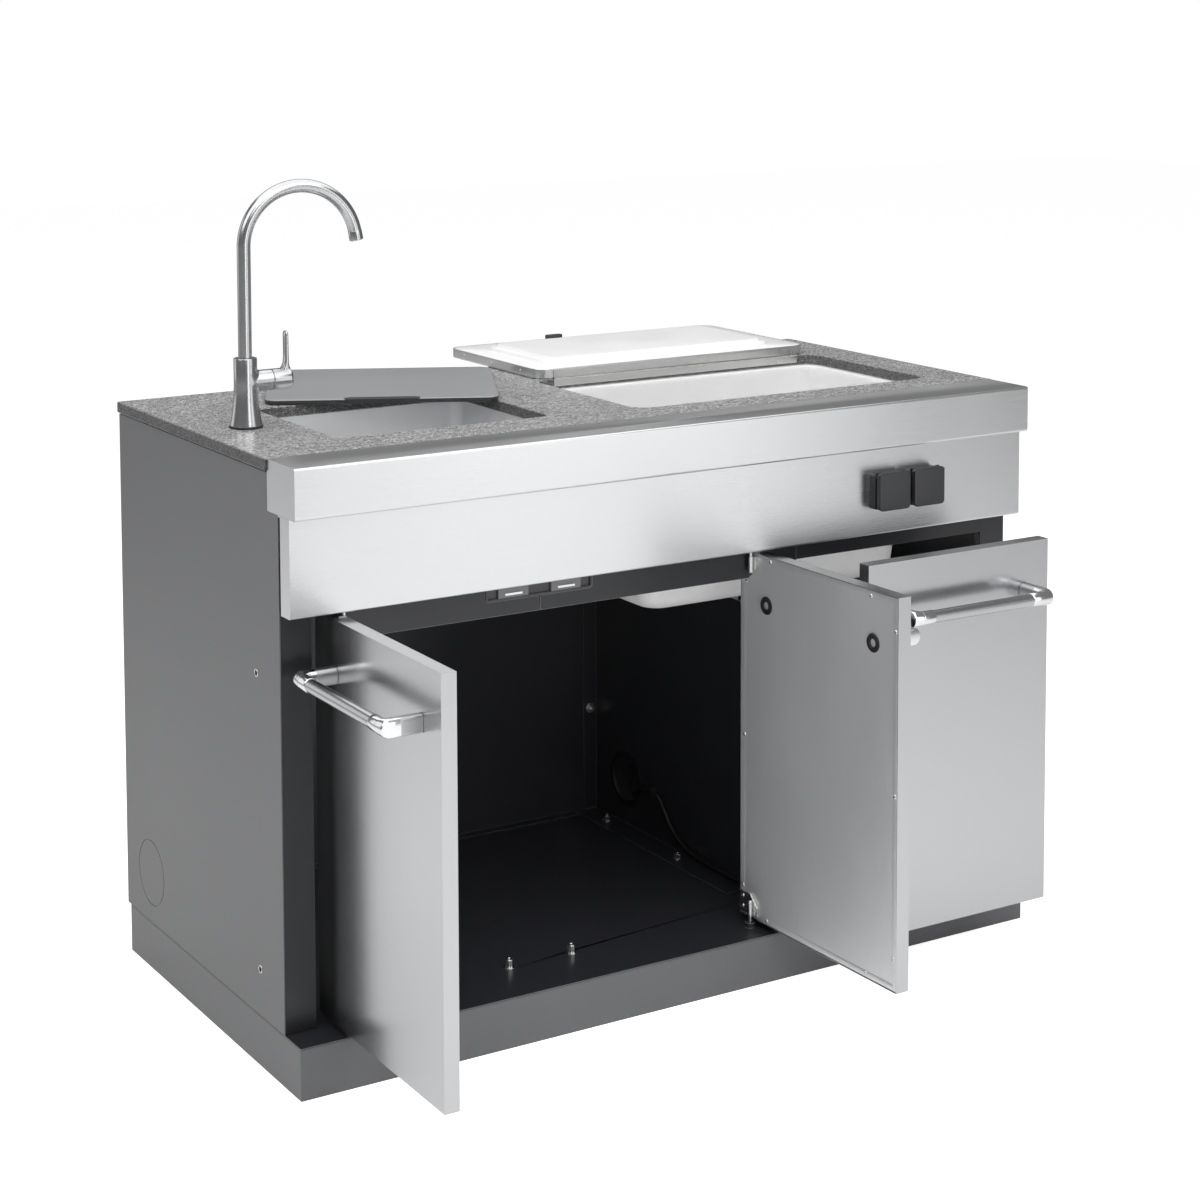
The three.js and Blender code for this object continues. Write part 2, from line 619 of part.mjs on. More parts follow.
// Sink: a bowl pressed in one piece with its rim under the granite
function makeSinkBowl() {
  const top = slabUnder - touch;
  const bottom = top - sink.depth;
  const opening = (grow, z) => [sink.left - grow, sink.right + grow, sink.front - grow, sink.back + grow,
    sink.corner + grow, z];
  const innerGrow = sinkRim.reveal;
  const outerGrow = innerGrow + sink.wall;
  const outer = loft(basinSections(opening(outerGrow, top - sinkRim.thickness / 2), 0, 0, bottom,
    sinkRim.fillet + sink.wall));
  const rim = loft([opening(sinkRim.width, top - sinkRim.thickness), opening(sinkRim.width, top)]);
  const inner = loft(basinSections(opening(innerGrow, top + overrun), 0, 0, bottom + sink.wall,
    sinkRim.fillet));
  const hole = rod(drain.radius, bottom - overrun, bottom + sink.wall + overrun, facets.large);
  return cut(join(outer, rim), inner, hole.translate(sinkX, sinkY, 0));
}

// Strainer: a rim on the bowl's floor, a cup through its hole and a tail pipe
function makeSinkDrain() {
  const floor = slabUnder - touch - sink.depth + sink.wall;
  const z = floor + touch;
  const rimTop = z + drain.rimThickness;
  const cupFloor = z - drain.depth / 2;
  const profile = [[0, cupFloor - drain.web], [drain.tail, cupFloor - drain.web],
    [drain.tail, z - drain.depth],
    [drain.tail + drain.wall, z - drain.depth], [drain.tail + drain.wall, cupFloor - drain.wall - drain.web],
    [drain.cup + drain.wall, cupFloor - drain.web], [drain.cup + drain.wall, z], [drain.rim, z],
    [drain.rim, rimTop - drain.rimThickness / 2], [drain.rim - drain.wall, rimTop], [drain.cup, rimTop],
    [drain.cup, cupFloor], [0, cupFloor]];
  return turned(profile, facets.large).translate(sinkX, sinkY, 0);
}

// Ice bin: a tapered tub whose rim lies under the granite and leaves a ledge for the lid
function makeIceBin() {
  const top = slabUnder - touch;
  const bottom = top - tub.depth;
  const opening = (grow, z) => [bin.left - grow, bin.right + grow, bin.front - grow, bin.back + grow,
    bin.corner + grow / 2, z];
  const outer = loft(basinSections(opening(-bin.ledge + tub.wall, top - tub.rimThickness / 2), tub.sideTaper,
    tub.endTaper, bottom, tub.fillet + tub.wall));
  const rim = loft([opening(bin.rim, top - tub.rimThickness), opening(bin.rim, top)]);
  const inner = loft(basinSections(opening(-bin.ledge, top + overrun), tub.sideTaper, tub.endTaper,
    bottom + tub.wall, tub.fillet));
  const hole = rod(binDrain.radius + touch, bottom - overrun, bottom + tub.wall + overrun);
  return cut(join(outer, rim), inner, hole.translate(binX, binY, 0));
}

function makeIceBinDrain() {
  const floor = slabUnder - touch - tub.depth + tub.wall + touch;
  const under = floor - tub.wall - 2 * touch;
  const bore = binDrain.radius - binDrain.wall;
  const profile = [[bore, under - binDrain.tail], [binDrain.radius, under - binDrain.tail],
    [binDrain.radius, under - binDrain.nutHeight], [binDrain.nut, under - binDrain.nutHeight],
    [binDrain.nut, under],
    [binDrain.radius, under], [binDrain.radius, floor], [binDrain.flange, floor],
    [binDrain.flange, floor + sheet], [bore, floor + sheet], [bore, under - binDrain.tail]];
  return turned(profile).translate(binX, binY, 0);
}

// Lid hinge: two leaves whose knuckles alternate along one axis
const hingeAxis = { y: bin.back - touch - leaf.knuckle, z: cabinet.height + touch };

function makeLeaf(parity, facing) {
  const y0 = facing > 0 ? leaf.offset : -leaf.knuckle;
  const y1 = facing > 0 ? leaf.knuckle : -leaf.offset;
  const clear = leaf.knuckle + touch;
  const solids = [box(leafLeft, leafRight, y0, y1, -leaf.height, -clear)];
  const count = Math.floor((leafRight - leafLeft) / leaf.pitch);
  for (let i = parity; i < count; i += 2) {
    const x0 = leafLeft + i * leaf.pitch + leaf.end;
    const x1 = leafLeft + (i + 1) * leaf.pitch - leaf.end;
    solids.push(box(x0, x1, y0, y1, -clear - leaf.offset, 0));
    solids.push(rodAlongX(leaf.knuckle, x0, x1, 0, 0, facets.small));
  }
  return join(...solids);
}

// Lid, drawn shut with the hinge axis as its origin
function makeLidPan() {
  const far = -leaf.knuckle - touch - lidDepth;
  const near = -leaf.knuckle - touch;
  const [x0, x1] = [lidLeft, lidRight];
  const outer = loft([[x0, x1, far, near, lid.corner, -lid.skirt], [x0, x1, far, near, lid.corner, 0]]);
  const { wall } = lid;
  const inner = loft([
    [x0 + wall, x1 - wall, far + wall, near - wall, lid.corner - wall, -lid.skirt - overrun],
    [x0 + wall, x1 - wall, far + wall, near - wall, lid.corner - wall, -wall]]);
  const notchStart = near - lid.corner - lid.notchPlace;
  const notch = box(x0 - overrun, x0 + wall + overrun, notchStart - lid.notch, notchStart,
    -lid.skirt - overrun, -lid.skirt + lid.notchDepth);
  return cut(outer, inner, notch);
}

function makeLidLiner() {
  const inset = lid.wall + lidInner.clear;
  const far = -leaf.knuckle - touch - lidDepth + inset;
  const near = -leaf.knuckle - touch - inset;
  const [x0, x1] = [lidLeft + inset, lidRight - inset];
  const face = -lid.skirt + lidInner.recess;
  const crown = -lid.wall - lidInner.clear;
  const { wall } = lidInner;
  const corner = lid.corner - inset;
  const plugRing = (grow, z) => [x0 + lidInner.plugSide - grow, x1 - lidInner.plugSide + grow,
    far + lidInner.plugFar - grow, near - lidInner.plugHinge + grow, plug.corner + grow / 2, z];
  const tray = loft([[x0, x1, far, near, corner, face], [x0, x1, far, near, corner, crown]]);
  const hollow = loft([
    [x0 + wall, x1 - wall, far + wall, near - wall, corner - wall, face + wall],
    [x0 + wall, x1 - wall, far + wall, near - wall, corner - wall, crown + overrun]]);
  const crest = face - lidInner.plugHeight;
  const edge = plug.draft / 2;
  const raised = loft([plugRing(-plug.draft - edge, crest), plugRing(-plug.draft, crest + edge),
    plugRing(0, face + wall / 2)]);
  const cavity = loft([plugRing(-plug.draft - wall, crest + wall), plugRing(-wall, face + wall + overrun)]);
  return cut(join(tray, raised), hollow, cavity);
}

function makeLidPull() {
  const x = binX - pull.fromMiddle;
  const y = -leaf.knuckle - touch - lidDepth + pull.fromFar;
  const [x0, x1] = [x - pull.width / 2, x + pull.width / 2];
  const [y0, y1] = [y - pull.depth / 2, y + pull.depth / 2];
  const seat = -lid.skirt + lidInner.recess - touch;
  const body = loft([
    [x0, x1, y0, y1, pull.corner, seat - pull.height],
    [x0, x1, y0, y1, pull.corner, seat]]);
  const rim = pull.corner / 2;
  const dish = loft([
    [x0 + rim, x1 - rim, y0 + rim, y1 - rim, pull.corner / 2, seat - pull.height - overrun],
    [x0 + rim, x1 - rim, y0 + rim, y1 - rim, pull.corner / 2, seat - pull.height / 2]]);
  return cut(body, dish);
}

// A door or drawer front is drawn shut, with its outer face at faceY and its rear face at faceY + thickness
function makeFrontSkin(x0, x1, faceY) {
  const [z0, z1] = [doorUnder, doorTop];
  const deep = faceY + door.thickness;
  const outer = box(x0, x1, faceY, deep, z0, z1);
  const inner = box(x0 + skin, x1 - skin, faceY + skin, deep + overrun, z0 + skin, z1 - skin);
  return cut(outer, inner);
}

function makeFrontLiner(x0, x1, faceY, grommets) {
  const inset = skin + liner.clear;
  const [z0, z1] = [doorUnder + inset, doorTop - inset];
  const face = faceY + door.thickness - door.recess;
  const outer = box(x0 + inset, x1 - inset, face - liner.rim, face, z0, z1);
  const wall = liner.thickness;
  const [inner0, inner1] = [x0 + inset + wall, x1 - inset - wall];
  const inner = box(inner0, inner1, face - liner.rim - overrun, face - wall, z0 + wall, z1 - wall);
  const holes = grommets.map((x) => (
    rod(grommet.hole, -overrun, wall + overrun).rotateX(Math.PI / 2).translate(x, face, handleZ)));
  return cut(outer, inner, ...holes);
}

// A straight run, an arc and a second straight run, with one step for each run and the rest on the arc
class BentCurve extends THREE.Curve {
  constructor(reach, radius, sweep, depth, steps) {
    super();
    Object.assign(this, { reach, radius, sweep, depth, steps });
  }

  getUtoTmapping(share) {
    return share;
  }

  getPoint(t) {
    const { reach, radius, sweep, depth, steps } = this;
    const ends = depth > 0 ? 2 : 1;
    const place = t * steps;
    const turn = sweep * Math.min(Math.max(place - 1, 0) / (steps - ends), 1);
    const x = reach * Math.min(place, 1) + radius * Math.sin(turn);
    const y = radius - radius * Math.cos(turn);
    const rest = depth * Math.max(place - steps + 1, 0) * (ends - 1);
    return new THREE.Vector3(x + rest * Math.cos(sweep), y + rest * Math.sin(sweep), 0);
  }
}

function sectionOf(radius, sides) {
  const points = [];
  for (let i = 0; i < sides; i += 1) {
    const angle = (i + 1 / 2) * 2 * Math.PI / sides;
    points.push(new THREE.Vector2(radius * Math.cos(angle), radius * Math.sin(angle)));
  }
  return new THREE.Shape(points);
}

// Corner post of a handle, with a flat outer flank
function makeHandlePost() {
  const depth = handle.standOff - touch;
  const steps = facets.elbow + 2;
  const { collar, bend, post } = handle;
  const path = new BentCurve(collar - bend, bend, Math.PI / 2, depth - bend, steps);
  const sweep = new THREE.ExtrudeGeometry(sectionOf(post, facets.round), {
    steps, extrudePath: path, bevelEnabled: false }).translate(-collar, 0, 0);
  const flat = post - handle.flat;
  const flank = box(flat, flat + post, -collar, depth + overrun, -collar, collar);
  return cut(sweep, flank);
}

// A handle is a bar between two corner posts
function makeHandle(centre, faceY) {
  const half = handle.spacing / 2;
  const y = faceY - handle.standOff;
  const right = makeHandlePost().translate(centre + half, y, handleZ);
  const left = makeHandlePost().scale(-1, 1, 1).translate(centre - half, y, handleZ);
  const barHalf = half - handle.collar + handle.lap;
  return join(rodAlongX(handle.bar, centre - barHalf, centre + barHalf, y, handleZ), left, right);
}

// Rubber plug over a handle screw, in a hole of the liner
function makePlug(x, face) {
  const { hole, flange: wide, lip, depth, bore } = grommet;
  const profile = [[0, -depth], [hole - touch, -depth], [hole - touch, touch], [wide, touch],
    [wide - lip / 2, touch + lip], [bore, touch + lip], [bore, -lip], [0, -lip]];
  return turned(profile).rotateX(-Math.PI / 2).translate(x, face, handleZ);
}

// Door pivot: a corner plate with a barrel and a pin, at the top or the bottom of the hinge edge
function makePivot(faceY, up) {
  const seat = faceY + door.thickness - door.recess + touch;
  const z = up > 0 ? doorUnder + pivot.edge : doorTop - pivot.edge;
  const tip = up > 0 ? floorTop + bush.height / 4 : fasciaUnder - sheet / 2;
  const x0 = -door.pivotEdge + skin + touch;
  const x1 = x0 + pivot.plateWidth;
  const far = z + up * pivot.plateHeight;
  const chamfer = pivot.plateHeight / 2;
  const line = outline([[x0, z], [x1, z], [x1, far - up * chamfer], [x1 - chamfer, far], [x0, far]]);
  const plate = alongY(line, seat, seat + pivot.plate);
  const sleeveLow = Math.min(z, z + up * pivot.barrelLength);
  const sleeve = rod(pivot.barrel, sleeveLow, sleeveLow + pivot.barrelLength);
  const pin = rod(pivot.pin, Math.min(tip, z + up * pivot.edge), Math.max(tip, z + up * pivot.edge));
  return join(plate, sleeve, pin);
}

// A door turns about its pivot; hand is 1 for the left door and -1 for the middle one
function makeDoor(name, hand) {
  const door3d = new THREE.Group();
  const faceY = -door.pivotBehind - door.thickness;
  const reach = (pivotX.mid - pivotX.left - door.reveal) / 2;
  const centre = (reach - door.pivotEdge) / 2 + handle.shift;
  const places = [centre - handle.spacing / 2, centre + handle.spacing / 2];
  const handed = (geometry) => (hand > 0 ? geometry : geometry.scale(-1, 1, 1));
  add(door3d, `${name}_door_skin`, handed(makeFrontSkin(-door.pivotEdge, reach, faceY)), 'stainless');
  const inner = makeFrontLiner(-door.pivotEdge, reach, faceY, places);
  add(door3d, `${name}_door_liner`, handed(inner), 'brushed');
  add(door3d, `${name}_door_handle`, handed(makeHandle(centre, faceY)), 'brushed');
  const inside = faceY + door.thickness - door.recess;
  add(door3d, `${name}_door_near_plug`, handed(makePlug(places[0], inside)), 'rubber');
  add(door3d, `${name}_door_far_plug`, handed(makePlug(places[1], inside)), 'rubber');
  add(door3d, `${name}_door_bottom_pivot`, handed(makePivot(faceY, 1)), 'zinc');
  add(door3d, `${name}_door_top_pivot`, handed(makePivot(faceY, -1)), 'zinc');
  door3d.position.set(pivotX[name], pivotY, 0);
  door3d.rotation.z = -hand * THREE.MathUtils.degToRad(openAngle[name]);
  root.add(door3d);
}

// Drawer tray: side walls slope up to a tall front that stiffens the drawer front
function makeTray(rearFace) {
  const y0 = rearFace + touch;
  const y1 = y0 + trayDepth;
  const { wall } = tray;
  const low = trayUnder;
  const top = low + tray.rise;
  const tall = low + tray.frontRise;
  const flank = outline([[y0, low], [y1, low], [y1, top], [y0 + tray.fall, top], [y0 + tray.ledge, tall],
    [y0, tall]]);
  const block = alongX(flank, trayLeft, trayRight);
  const hollow = box(trayLeft + wall, trayRight - wall, y0 + wall, y1 - wall, low + wall, tall + overrun);
  const rails = runnerPlaces().map((x) => makeRail(x, y0 + runner.railInset, y1 - runner.railEnd));
  return join(cut(block, hollow), ...rails);
}

function runnerPlaces() {
  return [trayLeft + runner.inset, trayRight - runner.inset];
}

function makeFixedRunner(x) {
  const half = runner.width / 2;
  const low = standOn;
  const { wall, height } = runner;
  const line = outline([[x - half, low], [x + half, low], [x + half, low + height],
    [x + half - wall, low + height], [x + half - wall, low + wall], [x - half + wall, low + wall],
    [x - half + wall, low + height], [x - half, low + height]]);
  const start = frameFront + runner.fromPost;
  return alongY(line, start, start + runnerSpan);
}

// Rail under the tray that slides in a floor channel
function makeRail(x, start, end) {
  const half = runner.width / 2 - runner.wall - runner.play;
  const low = standOn + runner.wall + runner.play;
  const top = trayUnder + tray.wall / 2;
  const foot = top - runner.foot;
  const neck = half / 2;
  const shoulder = low + runner.height / 2;
  const line = outline([[x - half, low], [x + half, low], [x + half, shoulder], [x + neck, shoulder],
    [x + neck, foot], [x + half, foot], [x + half, top], [x - half, top], [x - half, foot], [x - neck, foot],
    [x - neck, shoulder], [x - half, shoulder]]);
  return alongY(line, start, end);
}

function makeDrawer() {
  const slide = new THREE.Group();
  const centre = (drawer.left + drawer.right) / 2;
  const rearFace = fasciaFront + door.thickness - door.recess;
  add(slide, 'drawer_skin', makeFrontSkin(drawer.left, drawer.right, fasciaFront), 'stainless');
  add(slide, 'drawer_liner', makeFrontLiner(drawer.left, drawer.right, fasciaFront, []), 'brushed');
  add(slide, 'drawer_handle', makeHandle(centre, fasciaFront), 'brushed');
  add(slide, 'drawer_tray', makeTray(rearFace), 'black');
  slide.position.y = -drawer.out;
  root.add(slide);
}

// Tap body: a flared column with the fixed half of the side barrel
function makeTapBody() {
  const z0 = cabinet.height + touch;
  const shankEnd = slabUnder - shank.height;
  const flare = flare_shares.map(([out, up]) => (
    [tap.neck + (tap.foot - tap.neck) * out, z0 + tap.ring + tap.flare * up]));
  const profile = [[0, shankEnd], [shank.radius, shankEnd], [shank.radius, z0],
    [tap.ringRadius, z0], [tap.ringRadius, z0 + tap.ring], [tap.foot, z0 + tap.ring], ...flare,
    [tap.neck, z0 + tap.ring + tap.flare], [tap.neck, z0 + tap.height - skin],
    [tap.neck - skin, z0 + tap.height], [0, z0 + tap.height]];
  const column = turned(profile);
  const arm = rodAlongX(barrel.radius, 0, barrel.fixedReach, 0, z0 + barrel.height);
  const cartridge = rodAlongX(barrel.cartridge, 0, barrel.fixedReach + cap.wall, 0, z0 + barrel.height,
    facets.small);
  return join(column, arm, cartridge).translate(tapX, tapY, 0);
}

function makeTapNut() {
  const top = slabUnder - touch;
  return annulus(shank.radius + shank.nutClear, shank.nutRadius, top - shank.nutHeight, top)
    .translate(tapX, tapY, 0);
}

const spoutStart = cabinet.height + touch + tap.height + touch;
const spoutSweep = THREE.MathUtils.degToRad(spoutAngle.sweep);
const spoutRise = cabinet.height + spout.top - spout.radius - spout.arch - spoutStart;

function placeOnTap(geometry) {
  return geometry.rotateZ(THREE.MathUtils.degToRad(spoutAngle.turn)).translate(tapX, tapY, spoutStart);
}

// Spout tube with the collar of its outlet
function makeSpout() {
  const steps = facets.arch + 1;
  const path = new BentCurve(spoutRise, spout.arch, spoutSweep, 0, steps);
  const tube = new THREE.ExtrudeGeometry(sectionOf(spout.radius, facets.spout), {
    steps, extrudePath: path, bevelEnabled: false });
  const upright = new THREE.Matrix4().makeBasis(
    new THREE.Vector3(0, 0, 1), new THREE.Vector3(1, 0, 0), new THREE.Vector3(0, 1, 0));
  tube.applyMatrix4(upright);
  const tip = new THREE.Vector3(spout.arch - spout.arch * Math.cos(spoutSweep), 0,
    spoutRise + spout.arch * Math.sin(spoutSweep));
  const bore = aerator.radius - aerator.wall;
  const mouth = aerator.height;
  const collar = turned([[0, -aerator.lap], [aerator.radius, -aerator.lap], [aerator.radius, mouth],
    [bore, mouth], [bore, mouth - aerator.wall], [0, mouth - aerator.wall]]);
  collar.rotateY(spoutSweep);
  return placeOnTap(join(tube, collar.translate(tip.x, tip.y, tip.z)));
}

// Mixer: the cap turns on the barrel, and the lever tilts through the cap's slot about a ball in it
const leverX = tapX + barrel.leverReach;
const barrelZ = cabinet.height + touch + barrel.height;

function makeMixerCap() {
  const x0 = tapX + barrel.fixedReach + touch;
  const x1 = tapX + barrel.reach;
  const inside = barrel.radius - cap.wall;
  const shell = rodAlongX(barrel.radius, x0, x1, tapY, barrelZ);
  const hollow = rodAlongX(inside, x0 - overrun, x1 - cap.end, tapY, barrelZ);
  const slot = box(leverX - cap.slotBack, leverX + cap.slotFront, tapY - cap.slotWidth / 2,
    tapY + cap.slotWidth / 2, barrelZ, barrelZ + barrel.radius + overrun);
  return cut(shell, hollow, slot);
}

function makeMixerLever() {
  const top = cabinet.height + lever.top;
  const half = lever.thickness / 2;
  const wide = lever.width / 2;
  const tipWide = lever.tipWidth / 2;
  const tipX = leverX - lever.lean;
  const shoulder = half * lever_shares.shoulder;
  const bladeRing = (x, thick, across, corner, z) => (
    [x - thick, x + thick, tapY - across, tapY + across, corner, z]);
  const blade = loft([
    bladeRing(leverX, half, wide, skin, barrelZ + lever.root),
    bladeRing(leverX, half, wide, skin, barrelZ + barrel.radius + half),
    bladeRing(tipX, shoulder, tipWide, skin, top - tipWide),
    bladeRing(tipX, half / 2, wide * lever_shares.tip, skin / 2, top)]);
  const ball = new THREE.SphereGeometry(lever.ball, facets.round, facets.small);
  return join(blade, ball.translate(leverX, tapY, barrelZ));
}

// Socket bodies: two stepped bases on the fascia with throats to one box behind it
function frontSlab(x, z, width, height, corner, y0, y1) {
  return alongY(roundedShape(x - width / 2, x + width / 2, z - height / 2, z + height / 2, corner), y0, y1);
}

const socketFace = fasciaFront - touch;
const socketRimFront = socketFace - socket.base - socket.neck - socket.rim;
const coverRear = socketRimFront - touch;
const coverPin = { y: socketRimFront + socketCover.pin, z: socketZ + socket.height / 2 + socketCover.pin };

function makeSocketBases() {
  const solids = [];
  const throat = socketBox.throat;
  const boxFront = fasciaFront + sheet + touch;
  for (const place of [0, 1]) {
    const x = socketX + place * socket.pitch;
    const { corner } = socketCover;
    const neckRear = socketFace - socket.base;
    const rimRear = neckRear - socket.neck;
    const layer = (inset, y0, y1) => (
      frontSlab(x, socketZ, socket.width - inset, socket.height - inset, corner, y0, y1));
    solids.push(layer(0, neckRear, socketFace));
    solids.push(layer(2 * socket.neckInset, rimRear - overrun / 2, neckRear + overrun / 2));
    solids.push(layer(socket.neck, socketRimFront, rimRear));
    solids.push(box(x - throat / 2, x + throat / 2, socketFace - socket.base / 2, boxFront + overrun,
      socketZ - throat / 2, socketZ + throat / 2));
    for (const hand of [-1, 1]) {
      const inner = x + hand * (socketCover.pinSpan / 2 + touch);
      const outer = inner + hand * socketCover.lug;
      const [x0, x1] = [Math.min(inner, outer), Math.max(inner, outer)];
      solids.push(rodAlongX(socketCover.pin, x0, x1, coverPin.y, coverPin.z, facets.small));
      solids.push(box(x0, x1, coverPin.y - socketCover.pin, coverPin.y + socketCover.pin,
        socketZ + socket.height / 2 - socket.neck, coverPin.z));
    }
  }
  const half = socketBox.height / 2;
  const boxRear = boxFront + socketBox.depth - touch;
  const boxLeft = socketX - socket.width / 2 - socketBox.side;
  const boxRight = socketX + socket.pitch + socket.width / 2 + socketBox.side;
  solids.push(box(boxLeft, boxRight, boxFront, boxRear, socketZ - half, socketZ + half));
  const nipple = rod(socketBox.nipple, boxRear - overrun, boxRear + socketBox.nippleReach);
  solids.push(nipple.rotateX(-Math.PI / 2).translate(socketX + socket.pitch / 2, 0, socketZ));
  return join(...solids);
}

function makeSocketCover(place) {
  const x = socketX + place * socket.pitch;
  const { thickness, shell, corner, round, pin } = socketCover;
  const frontY = coverRear - thickness;
  const layer = (inset, y0, y1) => (
    frontSlab(x, socketZ, socket.width - inset, socket.height - inset, corner - inset / 2, y0, y1));
  const slabs = [layer(0, frontY + round, coverRear), layer(round, frontY, frontY + 2 * round)];
  const hollow = layer(2 * shell, frontY + shell, coverRear + overrun);
  const half = socketCover.pinSpan / 2;
  const hinge = rodAlongX(pin, x - half, x + half, coverPin.y, coverPin.z, facets.small);
  const webTop = coverPin.z + pin / 2;
  const web = box(x - half, x + half, coverRear - shell, coverPin.y, coverPin.z - pin / 2, webTop);
  const brow = box(x - half, x + half, coverRear - shell, coverRear, socketZ + socket.height / 2 - shell,
    webTop);
  return join(cut(join(...slabs), hollow), hinge, web, brow);
}

// Power lead: from the socket box along the side and back walls, through the divider and down to the floor
const alongSide = [
  [249.5, 76.5, 71], [249.5, 90, 71], [233, 106, 69.5], [173, 116, 59.5], [103, 118, 44.5],
  [47, 124, 39.5], [18, 148, 39.5], [9, 188, 39.5], [7.4, 258, 39.5], [7, 338, 39.5],
].map(([x, y, z]) => [side - x, front + y, noseUnder - z]);
const downTheBack = [
  [7.4, 98, 40.5], [11, 48, 45.5], [25, 20, 61.5], [51, 10, 94.5], [67, 9.2, 149.5], [73, 9.2, 279.5],
].map(([x, y, z]) => [side - x, back - y, noseUnder - z]);
const acrossTheBack = [
  [73, 9.2, 240], [93, 9.4, 100], [173, 10, 30], [273, 16, 5],
].map(([x, y, z]) => [side - x, back - y, knockOutZ + z]);
const throughDivider = [
  [84, 73, -8], [32, 31, -16], [10, -1, -19], [1.5, -17, -20.5], [-5.5, -31, -18.5], [-7.8, -44, -9.5],
  [-7, -55, -1], [-5.2, -69, 4], [-5, -85, 5.5],
].map(([x, y, z]) => [dividerX + x, knockOutY + y, knockOutZ + z]);
const fromClip = [
  [-5, -99.5, 5], [-5, -113, 0], [-5, -131, -16], [-5, -151.5, -40],
].map(([x, y, z]) => [dividerX + x, knockOutY + y, knockOutZ + z]);
const toFloor = [
  [18, 245, 20.8], [18, 205, 11.8], [18, 160, 8.8], [18, 110, 7.8], [17, 70, 8.8], [12, 38, 12.3],
  [4, 14, 16.3], [0.4, 1, 12.3], [0, 0, 6.3], [0, 0, 1.3],
].map(([x, y, z]) => [leadHoleX + x, leadHoleY + y, standOn + z]);
const leadRoute = [...alongSide, ...downTheBack, ...acrossTheBack, ...throughDivider, ...fromClip,
  ...toFloor];
const clipPoint = leadRoute.length - toFloor.length - fromClip.length;

function makeLead() {
  const points = leadRoute.map(([x, y, z]) => new THREE.Vector3(x, y, z));
  const path = new THREE.CatmullRomCurve3(points, false, 'centripetal');
  path.getUtoTmapping = (share) => share;
  return new THREE.ExtrudeGeometry(sectionOf(lead.radius, facets.lead), {
    steps: leadSteps * (points.length - 1), extrudePath: path, bevelEnabled: false });
}

// Saddle clip, drawn on a wall that faces -X, with the lead running along Y and then turned to its slope
function makeSaddle() {
  const inner = lead.radius + clip.clear;
  const outer = inner + clip.wall;
  const half = clip.width / 2;
  const line = outline([[inner, -clip.foot], [inner, clip.foot], [inner - clip.wall, clip.foot],
    [inner - clip.wall, outer], [-outer / 2, outer], [-outer, outer / 2], [-outer, -outer / 2],
    [-outer / 2, -outer], [inner - clip.wall, -outer], [inner - clip.wall, -clip.foot]]);
  const body = alongY(line, -half, half);
  const bore = rod(inner + touch / 2, -half - overrun, half + overrun, facets.round).rotateX(Math.PI / 2);
  const mouth = box(0, inner + overrun, -half - overrun, half + overrun, -inner, inner);
  return cut(body, bore, mouth);
}

function makeClip() {
  const [before, , after] = [-1, 0, 1].map((step) => new THREE.Vector3(...leadRoute[clipPoint + step]));
  const slope = Math.atan2(after.z - before.z, after.y - before.y);
  const seat = dividerX - touch - (lead.radius + clip.clear);
  const [, y, z] = leadRoute[clipPoint];
  return makeSaddle().rotateX(slope).translate(seat, y, z);
}

// Edge rings: one in the divider's cable hole and one in the floor where the lead goes down
function makeRing(hole, inner, lip, thickness) {
  const half = thickness / 2 + touch;
  const tall = half + lip / 2;
  const groove = hole - touch;
  const wide = hole + lip;
  return turned([[inner, -tall], [wide, -tall], [wide, -half], [groove, -half], [groove, half], [wide, half],
    [wide, tall], [inner, tall], [inner, -tall]], facets.large);
}

// Loose sink cover, shown lifted off and laid on the granite behind the sink
function makeSinkCover() {
  const loose = new THREE.Group();
  const { height, corner } = sinkCover;
  const w = (sink.right - sink.left) / 2 + sinkCover.sideLap;
  const d = (sink.back - sink.front) / 2 + sinkCover.endLap;
  const outer = loft([[-w, w, -d, d, corner, 0], [-w, w, -d, d, corner, height - skin],
    [-w + skin, w - skin, -d + skin, d - skin, corner - skin, height]]);
  const inner = loft([
    [-w + sheet, w - sheet, -d + sheet, d - sheet, corner - sheet, -overrun],
    [-w + sheet, w - sheet, -d + sheet, d - sheet, corner - sheet, height - sheet]]);
  const half = coverGrip.span / 2;
  const pocket = box(-half - coverGrip.clear, half + coverGrip.clear, -d - overrun, -d + coverGrip.width
    + coverGrip.clear, -overrun, height + overrun);
  const walls = box(-half - coverGrip.clear - sheet, half + coverGrip.clear + sheet, -d + sheet / 2,
    -d + coverGrip.width + coverGrip.clear + sheet, 0, height - skin / 2);
  add(loose, 'sink_cover', cut(join(cut(outer, inner), walls), pocket), 'cover');
  const grip = loft([
    [-half, half, -d, -d + coverGrip.width, coverGrip.width / 4, touch],
    [-half, half, -d, -d + coverGrip.width, coverGrip.width / 4, coverGrip.height]]);
  add(loose, 'sink_cover_grip', grip, 'rubber');
  loose.position.set(width_shares.looseCover * cabinet.width, depth_shares.looseCover * cabinet.depth,
    cabinet.height + touch);
  loose.rotation.z = THREE.MathUtils.degToRad(coverTurn);
  root.add(loose);
}

function makeLid() {
  const flap = new THREE.Group();
  add(flap, 'lid_pan', makeLidPan(), 'stainless');
  add(flap, 'lid_liner', makeLidLiner(), 'white');
  add(flap, 'lid_pull', makeLidPull(), 'plastic');
  add(flap, 'lid_hinge_moving_leaf', makeLeaf(1, -1), 'zinc');
  flap.position.set(0, hingeAxis.y, hingeAxis.z);
  flap.rotation.x = Math.PI;
  root.add(flap);
}

